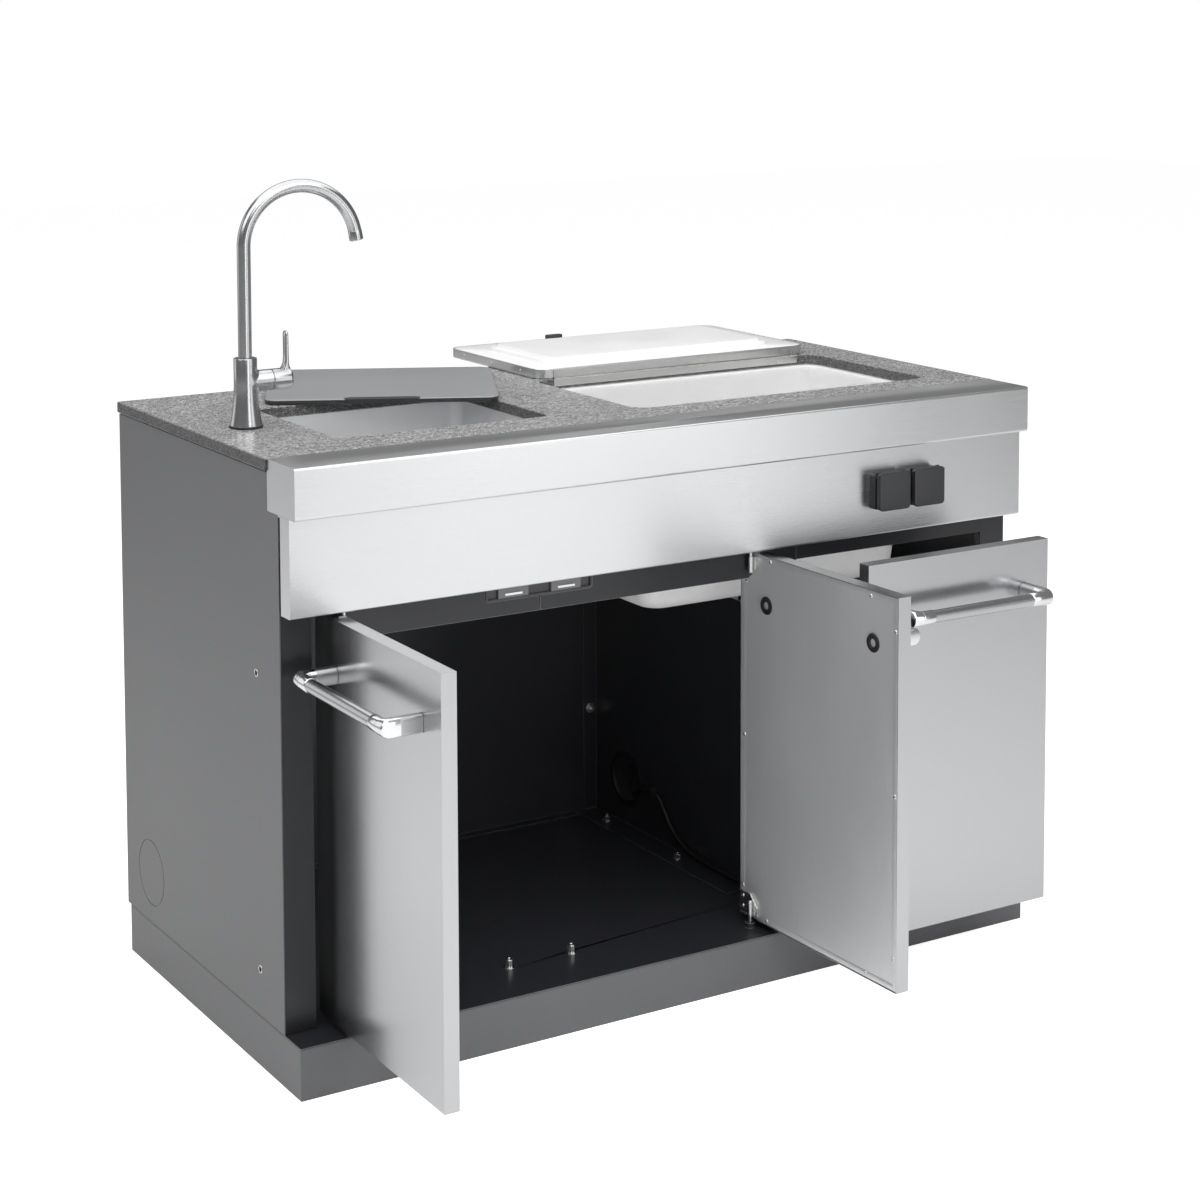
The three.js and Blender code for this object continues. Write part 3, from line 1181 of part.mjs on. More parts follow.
add(root, 'base_pan', makeBasePan(), 'coated');
add(root, 'floor_panel', makeFloor(), 'black');
add(root, 'left_side_panel', makeSidePanel(-1), 'coated');
add(root, 'right_side_panel', makeSidePanel(1), 'coated');
add(root, 'back_panel', makeBackPanel(), 'black');
add(root, 'divider_panel', makeDivider(), 'black');
add(root, 'left_post', makePost(postLeft, postInner), 'coated');
add(root, 'centre_post', makePost(centrePostLeft, centrePostLeft + frame.centrePostWidth), 'black');
add(root, 'right_post', makePost(-postInner, -postLeft), 'black');
add(root, 'header_rail', makeDoorHeader(), 'black');
add(root, 'drawer_header_rail', makeDrawerHeader(), 'black');
add(root, 'upper_fascia', makeUpperFascia(), 'stainless');
add(root, 'lower_fascia', makeLowerFascia(), 'stainless');
add(root, 'worktop', makeWorktop(), 'granite');
add(root, 'left_top_bracket', makeTopBracket(pivotX.left), 'zinc');
add(root, 'mid_top_bracket', makeTopBracket(pivotX.mid), 'zinc');
add(root, 'magnetic_catch', makeCatch(), 'plastic');
add(root, 'left_fixed_runner', makeFixedRunner(runnerPlaces()[0]), 'zinc');
add(root, 'right_fixed_runner', makeFixedRunner(runnerPlaces()[1]), 'zinc');
add(root, 'sink_bowl', makeSinkBowl(), 'brushed');
add(root, 'sink_drain', makeSinkDrain(), 'brushed');
add(root, 'ice_bin', makeIceBin(), 'white');
add(root, 'ice_bin_drain', makeIceBinDrain(), 'white');
add(root, 'lid_hinge_fixed_leaf', makeLeaf(0, 1).translate(0, hingeAxis.y, hingeAxis.z), 'zinc');
add(root, 'tap_body', makeTapBody(), 'brushed');
add(root, 'tap_nut', makeTapNut(), 'zinc');
add(root, 'socket_bases', makeSocketBases(), 'plastic');
add(root, 'power_lead', makeLead(), 'rubber');
add(root, 'lead_clip', makeClip(), 'plastic');
add(root, 'divider_cable_ring', makeRing(ring.holeRadius, ring.holeRadius - ring.lip, ring.depth, sheet)
  .rotateY(Math.PI / 2).translate(dividerX + sheet / 2, knockOutY - sheet, knockOutZ + sheet), 'rubber');
add(root, 'floor_cable_ring', makeRing(ring.floorHole, lead.radius + touch, ring.floorLip, sheet)
  .translate(leadHoleX, leadHoleY, floorUnder + sheet / 2), 'rubber');
add(root, 'spout_tube', makeSpout(), 'brushed');
add(root, 'mixer_cap', makeMixerCap(), 'brushed');
add(root, 'mixer_lever', makeMixerLever(), 'brushed');
add(root, 'left_socket_cover', makeSocketCover(0), 'plastic');
add(root, 'right_socket_cover', makeSocketCover(1), 'plastic');
makeDoor('left', 1);
makeDoor('mid', -1);
makeDrawer();
makeLid();
makeSinkCover();

export default root;
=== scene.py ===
# Looks of the outdoor kitchen island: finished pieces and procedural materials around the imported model.
import json
import math

import bmesh
import bpy
from mathutils import Matrix, Vector


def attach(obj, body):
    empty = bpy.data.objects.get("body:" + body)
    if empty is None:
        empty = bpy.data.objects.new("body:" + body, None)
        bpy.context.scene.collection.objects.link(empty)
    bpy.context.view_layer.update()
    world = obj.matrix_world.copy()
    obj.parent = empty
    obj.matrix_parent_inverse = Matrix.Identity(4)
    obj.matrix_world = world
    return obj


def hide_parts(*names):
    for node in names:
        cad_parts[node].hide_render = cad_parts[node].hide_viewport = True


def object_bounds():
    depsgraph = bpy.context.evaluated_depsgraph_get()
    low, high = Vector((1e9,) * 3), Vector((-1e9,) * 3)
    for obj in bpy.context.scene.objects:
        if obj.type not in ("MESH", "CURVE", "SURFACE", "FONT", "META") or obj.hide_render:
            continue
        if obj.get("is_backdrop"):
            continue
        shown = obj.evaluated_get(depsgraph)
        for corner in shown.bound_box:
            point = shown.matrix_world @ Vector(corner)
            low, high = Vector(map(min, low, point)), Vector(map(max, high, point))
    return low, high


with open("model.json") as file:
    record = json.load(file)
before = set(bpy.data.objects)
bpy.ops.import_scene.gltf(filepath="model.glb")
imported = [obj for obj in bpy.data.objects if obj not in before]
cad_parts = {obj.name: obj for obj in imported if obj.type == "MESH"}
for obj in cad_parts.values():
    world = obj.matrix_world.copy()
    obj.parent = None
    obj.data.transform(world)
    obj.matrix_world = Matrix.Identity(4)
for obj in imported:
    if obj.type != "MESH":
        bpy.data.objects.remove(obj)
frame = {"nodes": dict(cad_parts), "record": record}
CAD_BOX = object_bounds()
NODES = frame["nodes"]
MM = 0.001

BODY_OF = {node: body for body, nodes in frame["record"]["behaviour"]["bodies"].items() for node in nodes}
SLOT_OF = {entry["node"]: entry["material_slot"] for entry in frame["record"]["subparts"]}
MATERIALS = {}
# the range that most of a noise falls in
MIDDLE = (0.3, 0.7)


# Node trees
class Graph:
    """Adds and links the nodes of one material or world."""

    def __init__(self, owner):
        owner.use_nodes = True
        self.tree = owner.node_tree

    def feed(self, socket, value):
        """Links an output to the socket, or sets a plain value on it."""
        if isinstance(value, bpy.types.NodeSocket):
            self.tree.links.new(value, socket)
        elif socket.type == "RGBA":
            socket.default_value = (*value, 1.0)
        else:
            socket.default_value = value

    def add(self, kind, settings=None, **sockets):
        """A node with its settings and what its named sockets get."""
        node = self.tree.nodes.new(kind)
        for key, value in (settings or {}).items():
            setattr(node, key, value)
        for key, value in sockets.items():
            self.feed(node.inputs[key.replace("_", " ")], value)
        return node

    def place(self, scale=1.0, turn=0.0):
        """Object coordinates with one scale or one for each axis, turned about Z."""
        where = self.add("ShaderNodeTexCoord").outputs["Object"]
        scale = scale if isinstance(scale, tuple) else (scale, scale, scale)
        node = self.add("ShaderNodeMapping", Vector=where, Scale=scale, Rotation=(0.0, 0.0, turn))
        return node.outputs["Vector"]

    def noise(self, vector, scale=1.0, detail=3.0, roughness=0.5):
        return self.add("ShaderNodeTexNoise", Vector=vector, Scale=scale, Detail=detail,
                        Roughness=roughness).outputs["Fac"]

    def cells(self, vector, scale, channel):
        """A random value for each cell: one channel of its colour."""
        color = self.add("ShaderNodeTexVoronoi", Vector=vector, Scale=scale).outputs["Color"]
        return self.add("ShaderNodeSeparateColor", Color=color).outputs[channel]

    def spread(self, value, low, high, start=0.0, end=1.0):
        return self.add("ShaderNodeMapRange", Value=value, From_Min=start, From_Max=end, To_Min=low,
                        To_Max=high).outputs["Result"]

    def ramp(self, value, stops):
        """A colour ramp; each stop has its place and a grey or a colour."""
        node = self.add("ShaderNodeValToRGB", Fac=value)
        ramp = node.color_ramp
        while len(ramp.elements) < len(stops):
            ramp.elements.new(0.5)
        for element, (position, color) in zip(ramp.elements, stops):
            element.position = position
            element.color = (*color, 1.0) if isinstance(color, tuple) else (color, color, color, 1.0)
        return node.outputs["Color"]

    def tint(self, value, low, high):
        return self.ramp(value, list(zip(MIDDLE, (low, high))))

    def math(self, operation, first, second=0.0):
        node = self.add("ShaderNodeMath", {"operation": operation})
        self.feed(node.inputs[0], first)
        self.feed(node.inputs[1], second)
        return node.outputs[0]

    def blend(self, first, second, share):
        """The share of the first value plus the rest of the second."""
        rest = self.math("MULTIPLY", second, 1.0 - share)
        return self.math("ADD", self.math("MULTIPLY", first, share), rest)

    def mix(self, factor, first, second, blend="MIX"):
        node = self.add("ShaderNodeMix", {"data_type": "RGBA", "blend_type": blend})
        sockets = (node.inputs["Factor"], node.inputs[6], node.inputs[7])
        for socket, value in zip(sockets, (factor, first, second)):
            self.feed(socket, value)
        return node.outputs[2]

    def bump(self, height, strength, distance):
        node = self.add("ShaderNodeBump", Height=height, Strength=strength, Distance=distance)
        return node.outputs["Normal"]


class Shader(Graph):
    """A material with one principled surface, kept in MATERIALS."""

    def __init__(self, name, **sockets):
        material = bpy.data.materials.new(name)
        MATERIALS[name] = material
        super().__init__(material)
        self.surface = self.tree.nodes["Principled BSDF"]
        self.set(**sockets)

    def set(self, **sockets):
        for key, value in sockets.items():
            self.feed(self.surface.inputs[key.replace("_", " ")], value)


# Materials. Reliefs are in metres.
STREAK_RELIEF = 0.0002
GRAIN_RELIEF = 0.0003


def steel(grey):
    """The colour of steel: a grey with a little less red."""
    return grey, grey + 0.005, grey + 0.015


def shifted(color, step):
    return tuple(min(1.0, max(0.0, channel + step)) for channel in color)


def brushed(name, color, roughness, grain, anisotropic=0.55, turn=0.0, mottle=0.022, relief=0.03):
    """Brushed steel: grain is the scale of the streaks along X, Y and Z, smallest along the brushing."""
    shader = Shader(name, Metallic=1.0, Anisotropic=anisotropic, Anisotropic_Rotation=turn)
    band_share = 0.22
    gloss_spread = 0.03
    streaks = shader.noise(shader.place(grain), roughness=0.65)
    bands = shader.noise(shader.place(tuple(value * band_share for value in grain)), detail=2.0)
    clouds = shader.noise(shader.place((3.1, 3.1, 2.3)), roughness=0.55)
    both = shader.blend(streaks, bands, 0.65)
    tone = shader.blend(both, clouds, 0.7)
    gloss = shader.spread(both, roughness - gloss_spread, roughness + gloss_spread, *MIDDLE)
    rough = shader.math("ADD", gloss, shader.spread(clouds, -0.02, 0.03, *MIDDLE))
    tangent = shader.add("ShaderNodeTangent", {"direction_type": "RADIAL", "axis": "Z"})
    shader.set(Base_Color=shader.tint(tone, shifted(color, -mottle), shifted(color, mottle)), Roughness=rough,
               Normal=shader.bump(streaks, relief, STREAK_RELIEF), Tangent=tangent.outputs["Tangent"])


def polished(name, color, roughness):
    """Polished steel: only faint clouds in its tone and faint smears in its gloss."""
    shader = Shader(name, Metallic=1.0)
    mottle = 0.012
    clouds = shader.noise(shader.place((7.0, 7.0, 5.0)))
    smears = shader.noise(shader.place((45.0, 45.0, 18.0)), detail=2.0)
    shader.set(Base_Color=shader.tint(clouds, shifted(color, -mottle), shifted(color, mottle)),
               Roughness=shader.spread(smears, roughness - 0.015, roughness + 0.02, *MIDDLE))


def coated(name, low, high, roughness, peel=900.0, strength=0.12, wear=0.045):
    """Powder coat: a fine orange peel over an even colour, with faint dust and handling marks."""
    shader = Shader(name)
    grain = shader.noise(shader.place(peel), detail=2.0)
    clouds = shader.noise(shader.place((2.3, 2.3, 3.1)), detail=4.0, roughness=0.6)
    shader.set(Base_Color=shader.ramp(clouds, [(0.3, low), (0.72, high)]),
               Roughness=shader.spread(clouds, roughness - wear, roughness + wear, 0.25, 0.75),
               Normal=shader.bump(grain, strength, GRAIN_RELIEF))


def granite(name):
    """Polished speckled granite whose cut sides are rougher and pitted, and painted darker as painted shade.
    """
    shader = Shader(name)
    side_painted_shade = (0.34, 0.34, 0.34)
    cut_roughness = 0.62
    streaky = shader.place((1.0, 2.1, 2.1), 0.5)
    plain = shader.place()
    grains = shader.cells(streaky, 400.0, "Red")
    flecks = shader.cells(plain, 660.0, "Green")
    wide = shader.noise(streaky, 120.0, 5.0, 0.72)
    drift = shader.noise(plain, 9.0)
    tone = shader.ramp(grains, [(0.0, 0.09), (0.28, 0.22), (0.6, 0.38), (0.86, 0.53), (1.0, 0.76)])
    shades = ((wide, [(0.34, 0.55), (0.5, 0.95), (0.66, 1.28)]), (drift, [(0.3, 0.9), (0.7, 1.08)]),
              (flecks, [(0.1, 0.25), (0.17, 1.0)]))
    for value, stops in shades:
        tone = shader.mix(1.0, tone, shader.ramp(value, stops), "MULTIPLY")
    normal = shader.add("ShaderNodeNewGeometry").outputs["True Normal"]
    level = shader.math("ABSOLUTE", shader.add("ShaderNodeSeparateXYZ", Vector=normal).outputs["Z"])
    side = shader.spread(level, 1.0, 0.0, 0.5, 0.9)
    # the cut sides' tone, multiplied darker: painted shade
    cut = shader.mix(1.0, tone, side_painted_shade, "MULTIPLY")
    polish = shader.spread(wide, 0.20, 0.34, *MIDDLE)
    pits = shader.noise(plain, 420.0, 4.0, 0.7)
    height = shader.math("MULTIPLY", pits, shader.spread(side, 0.03, 1.0))
    shader.set(Base_Color=shader.mix(side, tone, cut),
               Roughness=shader.math("MAXIMUM", polish, shader.math("MULTIPLY", side, cut_roughness)),
               Normal=shader.bump(height, 0.6, 0.0012))


def plastic(name, color, roughness, grain=700.0, strength=0.05, subsurface=0.0, depth=0.004):
    """Moulded plastic or rubber with a faint grain; depth is how far light goes under its skin, in metres."""
    shader = Shader(name, Subsurface_Weight=subsurface, Subsurface_Scale=depth,
                    Subsurface_Radius=(1.0, 1.0, 1.0))
    variation = 0.03
    clouds = shader.noise(shader.place(6.0))
    fine = shader.noise(shader.place(grain), detail=2.0)
    low = tuple(channel * (1 - variation) for channel in color)
    high = tuple(min(1.0, channel * (1 + variation)) for channel in color)
    shader.set(Base_Color=shader.tint(clouds, low, high),
               Roughness=shader.spread(clouds, roughness - 0.04, roughness + 0.05, *MIDDLE),
               Normal=shader.bump(fine, strength, GRAIN_RELIEF))


# scales of the streaks: fine across the brushing, and a few along it
FINE, LONG = 3200.0, 26.0
BAR_FINE, BAR_LONG = 620.0, 9.0
# The doors' and the fascias' steel is one steel: the doors' grey is painted darker and the fascias' lighter,
# painted shade and painted light.
brushed("steel_upright_painted_shade", steel(0.53), 0.21, (FINE, FINE, LONG))
brushed("steel_level_painted_light", steel(0.70), 0.29, (LONG, FINE, FINE), turn=0.25)
brushed("steel_liner", steel(0.77), 0.52, (FINE, FINE, 30.0), anisotropic=0.75)
polished("steel_handle", steel(0.80), 0.15)
brushed("steel_stem", steel(0.50), 0.34, (BAR_LONG, BAR_FINE, BAR_FINE), anisotropic=0.0, relief=0.0)
for name, grain in (("deep", (BAR_FINE, BAR_LONG, BAR_FINE)), ("wide", (BAR_LONG, BAR_FINE, BAR_FINE))):
    brushed(f"steel_bar_{name}", steel(0.52), 0.24, grain, anisotropic=0.0, mottle=0.05, relief=0.0)
polished("steel_tap", steel(0.49), 0.21)
brushed("steel_bowl", steel(0.86), 0.50, (30.0, 2400.0, 2400.0), anisotropic=0.3)
brushed("zinc", (0.70, 0.70, 0.69), 0.25, (400.0, 400.0, 400.0), anisotropic=0.0)
coated("coat_grey", (0.128, 0.130, 0.135), (0.143, 0.145, 0.150), 0.38)
coated("coat_black", (0.025, 0.026, 0.031), (0.028, 0.029, 0.034), 0.29, strength=0.03, wear=0.012)
coated("coat_post", (0.020, 0.0208, 0.0235), (0.022, 0.0228, 0.0255), 0.29, strength=0.03, wear=0.015)
# a pale coat for the bevels of some black folds: painted highlight
coated("coat_edge_painted_highlight", (0.22, 0.223, 0.23), (0.26, 0.263, 0.27), 0.30, strength=0.03)
coated("cover_grey", (0.275, 0.277, 0.284), (0.30, 0.302, 0.309), 0.33, peel=1500.0, strength=0.04)
granite("granite_polished")
plastic("white", (0.86, 0.86, 0.862), 0.32, subsurface=0.08)
plastic("white_bin", (0.96, 0.96, 0.96), 0.32, subsurface=0.8, depth=0.03)
plastic("dark", (0.033, 0.034, 0.037), 0.36, grain=1500.0, strength=0.06)
plastic("catch_dark", (0.055, 0.056, 0.060), 0.30, grain=1500.0)
plastic("catch_metal", (0.20, 0.202, 0.208), 0.30, grain=1500.0)
plastic("black_rubber", (0.010, 0.010, 0.011), 0.55, grain=1200.0, strength=0.15)

SLOT_MATERIAL = {
    "coated_grey": "coat_grey", "coated_black": "coat_black", "stainless": "steel_upright_painted_shade",
    "liner_steel": "steel_liner", "handle_steel": "steel_handle", "tap_steel": "steel_tap",
    "bowl_steel": "steel_bowl", "granite": "granite_polished", "zinc": "zinc", "white_plastic": "white",
    "cover_grey": "cover_grey", "dark_plastic": "dark", "rubber": "black_rubber",
}
FINISH = {"upper_fascia": "steel_level_painted_light", "lower_fascia": "steel_level_painted_light", "lid_pan": "steel_level_painted_light",
          "left_post": "coat_post", "centre_post": "coat_post", "header_rail": "coat_post"}


def finish_of(node):
    return FINISH.get(node, SLOT_MATERIAL[SLOT_OF[node]])


for node, node_object in NODES.items():
    node_object.data.materials.clear()
    node_object.data.materials.append(MATERIALS[finish_of(node)])


# Mesh helpers. All lengths are in millimetres.
def grown(box, step):
    """A rectangle of x0, x1, y0 and y1 that is larger by a step on each side."""
    x0, x1, y0, y1 = box
    return x0 - step, x1 + step, y0 - step, y1 + step


def rounded(box, radius, z, steps=8):
    """Points of a rounded rectangle at height z, counter-clockwise from above."""
    x0, x1, y0, y1 = grown(box, -radius)
    points = []
    for quarter, (x, y) in enumerate(((x1, y0), (x1, y1), (x0, y1), (x0, y0))):
        for step in range(steps + 1):
            angle = (quarter - 1 + step / steps) * math.pi / 2
            points.append((x + radius * math.cos(angle), y + radius * math.sin(angle), z))
    return points


def upright(box, radius, y, steps=8):
    """Points of a rounded rectangle that stands at depth y; its box is x0, x1, z0 and z1."""
    return [(x, y, z) for x, z, _ in rounded(box, radius, 0.0, steps)]


def disc(radius, count):
    return [(radius * math.cos(2 * math.pi * i / count), radius * math.sin(2 * math.pi * i / count))
            for i in range(count)]


def sharp_edges(mesh):
    limit = math.radians(35)
    return [edge for edge in mesh.edges if len(edge.link_faces) == 2 and edge.calc_face_angle(0.0) > limit]


class Form:
    """Collects rings and other faces into one mesh."""

    def __init__(self):
        self.mesh = bmesh.new()

    def rings(self, rings, start=True, closed=False):
        """Rings joined one to the next, capped at both ends, or only at the last, or joined into a loop."""
        rows = [[self.mesh.verts.new(point) for point in ring] for ring in rings]
        count = len(rows[0])
        pairs = list(zip(rows, rows[1:]))
        if closed:
            pairs.append((rows[-1], rows[0]))
        for low, high in pairs:
            for i in range(count):
                j = (i + 1) % count
                self.mesh.faces.new((low[i], low[j], high[j], high[i]))
        if start and not closed:
            self.mesh.faces.new(rows[0][::-1])
        if not closed:
            self.mesh.faces.new(rows[-1])
        return self

    def turned(self, profile, sides=48, matrix=None):
        """A profile of radius and height about Z. Points on the axis become poles."""
        before = len(self.mesh.verts)
        on_axis = 1e-6
        rows = []
        for radius, height in profile:
            points = [(0, 0)] if radius < on_axis else disc(radius, sides)
            rows.append([self.mesh.verts.new((x, y, height)) for x, y in points])
        pairs = list(zip(rows, rows[1:]))
        if profile[0][0] > on_axis and profile[-1][0] > on_axis:
            pairs.append((rows[-1], rows[0]))
        for low, high in pairs:
            for i in range(sides):
                j = (i + 1) % sides
                if len(low) == 1 and len(high) == 1:
                    continue
                if len(low) == 1:
                    self.mesh.faces.new((low[0], high[j], high[i]))
                elif len(high) == 1:
                    self.mesh.faces.new((low[i], low[j], high[0]))
                else:
                    self.mesh.faces.new((low[i], low[j], high[j], high[i]))
        self.mesh.verts.ensure_lookup_table()
        if matrix is not None:
            bmesh.ops.transform(self.mesh, matrix=matrix, verts=self.mesh.verts[before:])
        return self

    def sweep(self, path, section, up=(0, 0, 1)):
        """A section of (side, up) pairs carried along a path."""
        points = [Vector(point) for point in path]
        tangents = []
        for i in range(len(points)):
            before = points[max(0, i - 1)]
            after = points[min(len(points) - 1, i + 1)]
            tangents.append((after - before).normalized())
        normal = (Vector(up) - tangents[0] * Vector(up).dot(tangents[0])).normalized()
        rings = []
        for i, point in enumerate(points):
            if i:
                turn = tangents[i - 1].rotation_difference(tangents[i])
                normal = (turn @ normal).normalized()
            side = tangents[i].cross(normal)
            rings.append([point + side * a + normal * b for a, b in section])
        return self.rings(rings)

    def box(self, x0, x1, y0, y1, z0, z1):
        return self.rings([[(x0, y0, z), (x1, y0, z), (x1, y1, z), (x0, y1, z)] for z in (z0, z1)])

    def bevel(self, width, segments=2):
        bmesh.ops.bevel(self.mesh, geom=sharp_edges(self.mesh), offset=width, segments=segments, profile=0.5,
                        affect="EDGES", clamp_overlap=True)
        return self

    def move(self, matrix):
        bmesh.ops.transform(self.mesh, matrix=matrix, verts=self.mesh.verts)
        return self

    def finish(self, name, body, slot, replaces=(), matrix=None, material=None, angle=32):
        """Makes the piece; its material is the slot's own where none is given."""
        touching = 0.0005
        bmesh.ops.remove_doubles(self.mesh, verts=self.mesh.verts, dist=touching)
        if matrix is not None:
            self.move(matrix)
        bmesh.ops.scale(self.mesh, vec=(MM, MM, MM), verts=self.mesh.verts)
        bmesh.ops.recalc_face_normals(self.mesh, faces=self.mesh.faces)
        return settle(self.mesh, name, body, material or SLOT_MATERIAL[slot], replaces, angle)


def settle(source, name, body, material, replaces, angle=32):
    """A piece from the mesh, smooth where its faces meet at less than the angle, riding on its body."""
    limit = math.radians(angle)
    for face in source.faces:
        face.smooth = True
    for edge in source.edges:
        edge.smooth = len(edge.link_faces) == 2 and edge.calc_face_angle(0.0) < limit
    mesh = bpy.data.meshes.new(name)
    source.to_mesh(mesh)
    source.free()
    mesh.materials.append(MATERIALS[material])
    piece = bpy.data.objects.new(name, mesh)
    bpy.context.scene.collection.objects.link(piece)
    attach(piece, body)
    if replaces:
        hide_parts(*replaces)
    return piece


def softened(node, width, edge=None, drop=None):
    """The node's own form with its folds and edges rounded, and the edges in a material of their own if one
    is given; a lighter one there is a painted highlight. Drop is a height whose corners go lower, and by how
    much."""
    source = bmesh.new()
    source.from_mesh(NODES[node].data)
    if drop:
        height, depth = drop
        for vertex in source.verts:
            if abs(vertex.co.z - height * MM) < 0.5 * MM:
                vertex.co.z -= depth * MM
    flat = math.radians(0.6)
    bmesh.ops.remove_doubles(source, verts=source.verts, dist=1e-6)
    bmesh.ops.dissolve_limit(source, angle_limit=flat, verts=source.verts, edges=source.edges)
    bmesh.ops.bevel(source, geom=sharp_edges(source), offset=width * MM, segments=2, profile=0.5,
                    affect="EDGES", clamp_overlap=True, miter_outer="ARC", material=1 if edge else -1)
    piece = settle(source, f"{node}_form", BODY_OF[node], finish_of(node), (node,))
    modifier = piece.modifiers.new("flat_faces_first", "WEIGHTED_NORMAL")
    modifier.keep_sharp = True
    modifier.weight = 100
    if edge:
        piece.data.materials.append(MATERIALS[edge])


def at(x, y, z, angle=0.0):
    """A place, turned about Z by degrees."""
    return Matrix.Translation((x, y, z)) @ Matrix.Rotation(math.radians(angle), 4, "Z")


def facing(side):
    """Turns a local Z to the right, or to the left for a side of -1."""
    return Matrix.Rotation(side * math.pi / 2, 4, "Y")


TO_X = facing(1)
TO_Y = Matrix.Rotation(-math.pi / 2, 4, "X")
TO_FRONT = Matrix.Rotation(math.pi / 2, 4, "X")

# Sheet metal: each node with the radius of its folds. The second group's folds are painted in a lighter coat,
# a painted highlight.
PLAIN_FOLDS = {
    "base_pan": 1.6, "left_side_panel": 0.9, "right_side_panel": 0.9, "left_post": 0.9, "centre_post": 0.9,
    "right_post": 0.9, "left_door_skin": 0.5, "mid_door_skin": 0.5, "drawer_skin": 0.5,
    "left_top_bracket": 0.6, "mid_top_bracket": 0.6, "drawer_tray": 0.5,
}
LIGHT_FOLDS = {"header_rail": 0.6, "drawer_header_rail": 0.8, "back_panel": 0.7, "floor_panel": 0.7}
for node, width in PLAIN_FOLDS.items():
    softened(node, width)
for node, width in LIGHT_FOLDS.items():
    softened(node, width, "coat_edge_painted_highlight")
# the divider's notch clears the bin's floor
softened("divider_panel", 0.7, "coat_edge_painted_highlight", drop=(574.0, 11.5))

# Doors. Each hinge has x, y, the angle drawn and its hand. A door's own frame has X along the door, away
# from its hinge, and Y from its face to its back.
DOOR = {"left": (-575.0, -288.0, -90.5, 1.0), "mid": (142.0, -288.0, 91.0, -1.0)}
FACE = -29.5
INNER = -7.0
SKIN_BACK = -22.0
DOOR_BOX = (-35.0, 357.0, 89.0, 688.0)
# The handle: its place on a door, its bar, and its two posts
HANDLE_Z = 608.0
HANDLE_X = 165.0
BAR_OUT = 53.0
BAR_RADIUS = 10.1
BAR_HALF = 104.5
POST_HALF = 132.5
FLANK = 8.1
CORNER_BACK = 20.2
POST_TALL = 13.2
POST_INNER = 10.0
POST_OUTER = 8.6
POST_POWER = 2.3
POST_SQUARE = 6.0


def screw_head(form, matrix, radius, height):
    """A domed screw head with a small sunk cup for its recess, its axis along local Z."""
    form.turned([(0, height - 1.1), (radius * 0.28, height - 1.0), (radius * 0.34, height - 0.15),
                 (radius * 0.62, height - 0.12), (radius * 0.9, height * 0.55), (radius, 0.25),
                 (radius, -0.3), (0, -0.3)], 20, matrix)


def post_section():
    """Points around a handle's post, with a soft inner side and a squarer outer side."""
    points = []
    for c, s in disc(1.0, 48):
        power = 2 / (POST_SQUARE if c > 0 else POST_POWER)
        reach = POST_OUTER if c > 0 else -POST_INNER
        points.append((reach * abs(c) ** power, POST_TALL * math.copysign(abs(s) ** power, s)))
    return points


def corner_ring(x, radius, shift):
    """A section of a handle's corner at x: a round front, and a tail towards the face inside the post."""
    def round_part(angles):
        return [(x, shift + radius * math.cos(a), radius * math.sin(a)) for a in angles]

    front = round_part(math.pi * (0.5 + i / 28) for i in range(29))
    if x < -POST_INNER:
        return front + round_part(math.pi * (1.5 + i / 15) for i in range(1, 15))
    inward = max(0.0, -x) / POST_INNER
    height = min(radius, POST_TALL * (1 - inward ** POST_POWER) ** (1 / POST_POWER)) if x < 0 else radius
    tail = CORNER_BACK - shift
    lower = []
    for off in (1.5, 3.5, 6.0, 9.0, 12.0, tail - 0.5, tail):
        share = min(1.0, off / 9.0)
        share = share * share * (3 - 2 * share)
        lower.append((x, shift + off, radius + (height - radius) * share))
    return front + [(x, y, -z) for _, y, z in lower] + lower[::-1]


def make_handle(name, body, matrix, centre, face_y, bar_material):
    """A brushed bar between two polished corner posts with a tall, flat outer flank."""
    # along the bar: place, radius of the front, and its shift towards the face
    cheek = ((-33.0, 9.7, 0.0), (-32.0, 10.7, 0.0), (-31.0, 11.1, 0.0), (-16.0, 11.1, 0.0),
             (-11.5, 11.3, 0.1), (-10.0, 11.5, 0.3), (-9.8, 11.5, 0.4), (-9.2, 11.6, 0.5), (-8.0, 11.8, 0.7),
             (-6.0, 12.1, 1.1), (-3.5, 12.4, 1.7), (-1.0, 12.7, 2.2), (2.0, 13.0, 2.8), (5.2, 13.2, 3.2),
             (6.7, 12.9, 3.2), (7.7, 12.2, 3.2), (FLANK, 11.2, 3.2))
    # towards the face: place and share of the post's section, with the joint's groove at 51
    stem = ((CORNER_BACK, 0.97), (20.6, 1.0), (50.2, 1.0), (50.6, 0.95), (51.1, 0.95), (51.3, 1.0),
            (52.3, 1.0), (52.7, 0.97))
    section = post_section()
    axis = face_y - BAR_OUT
    flank = FLANK - 0.03
    for side, hand in ((-1, "left"), (1, "right")):
        place = at(centre + side * POST_HALF, axis, HANDLE_Z) @ Matrix.Scale(side, 4, (1, 0, 0))
        corner = Form().rings([corner_ring(*station) for station in cheek])
        corner.move(place).finish(f"{name}_{hand}_corner", body, "handle_steel", (name,), matrix, angle=28)
        post = Form().rings([[(min(x * share, flank), y, z * share) for x, z in section]
                             for y, share in stem])
        post.move(place)
        post.finish(f"{name}_{hand}_stem", body, "handle_steel", (name,), matrix, "steel_stem", angle=28)
    bar = Form().turned([(0, -BAR_HALF), (BAR_RADIUS, -BAR_HALF), (BAR_RADIUS, BAR_HALF), (0, BAR_HALF)], 56,
                        at(centre, axis, HANDLE_Z) @ TO_X)
    bar.finish(f"{name}_bar", body, "handle_steel", (name,), matrix, bar_material)


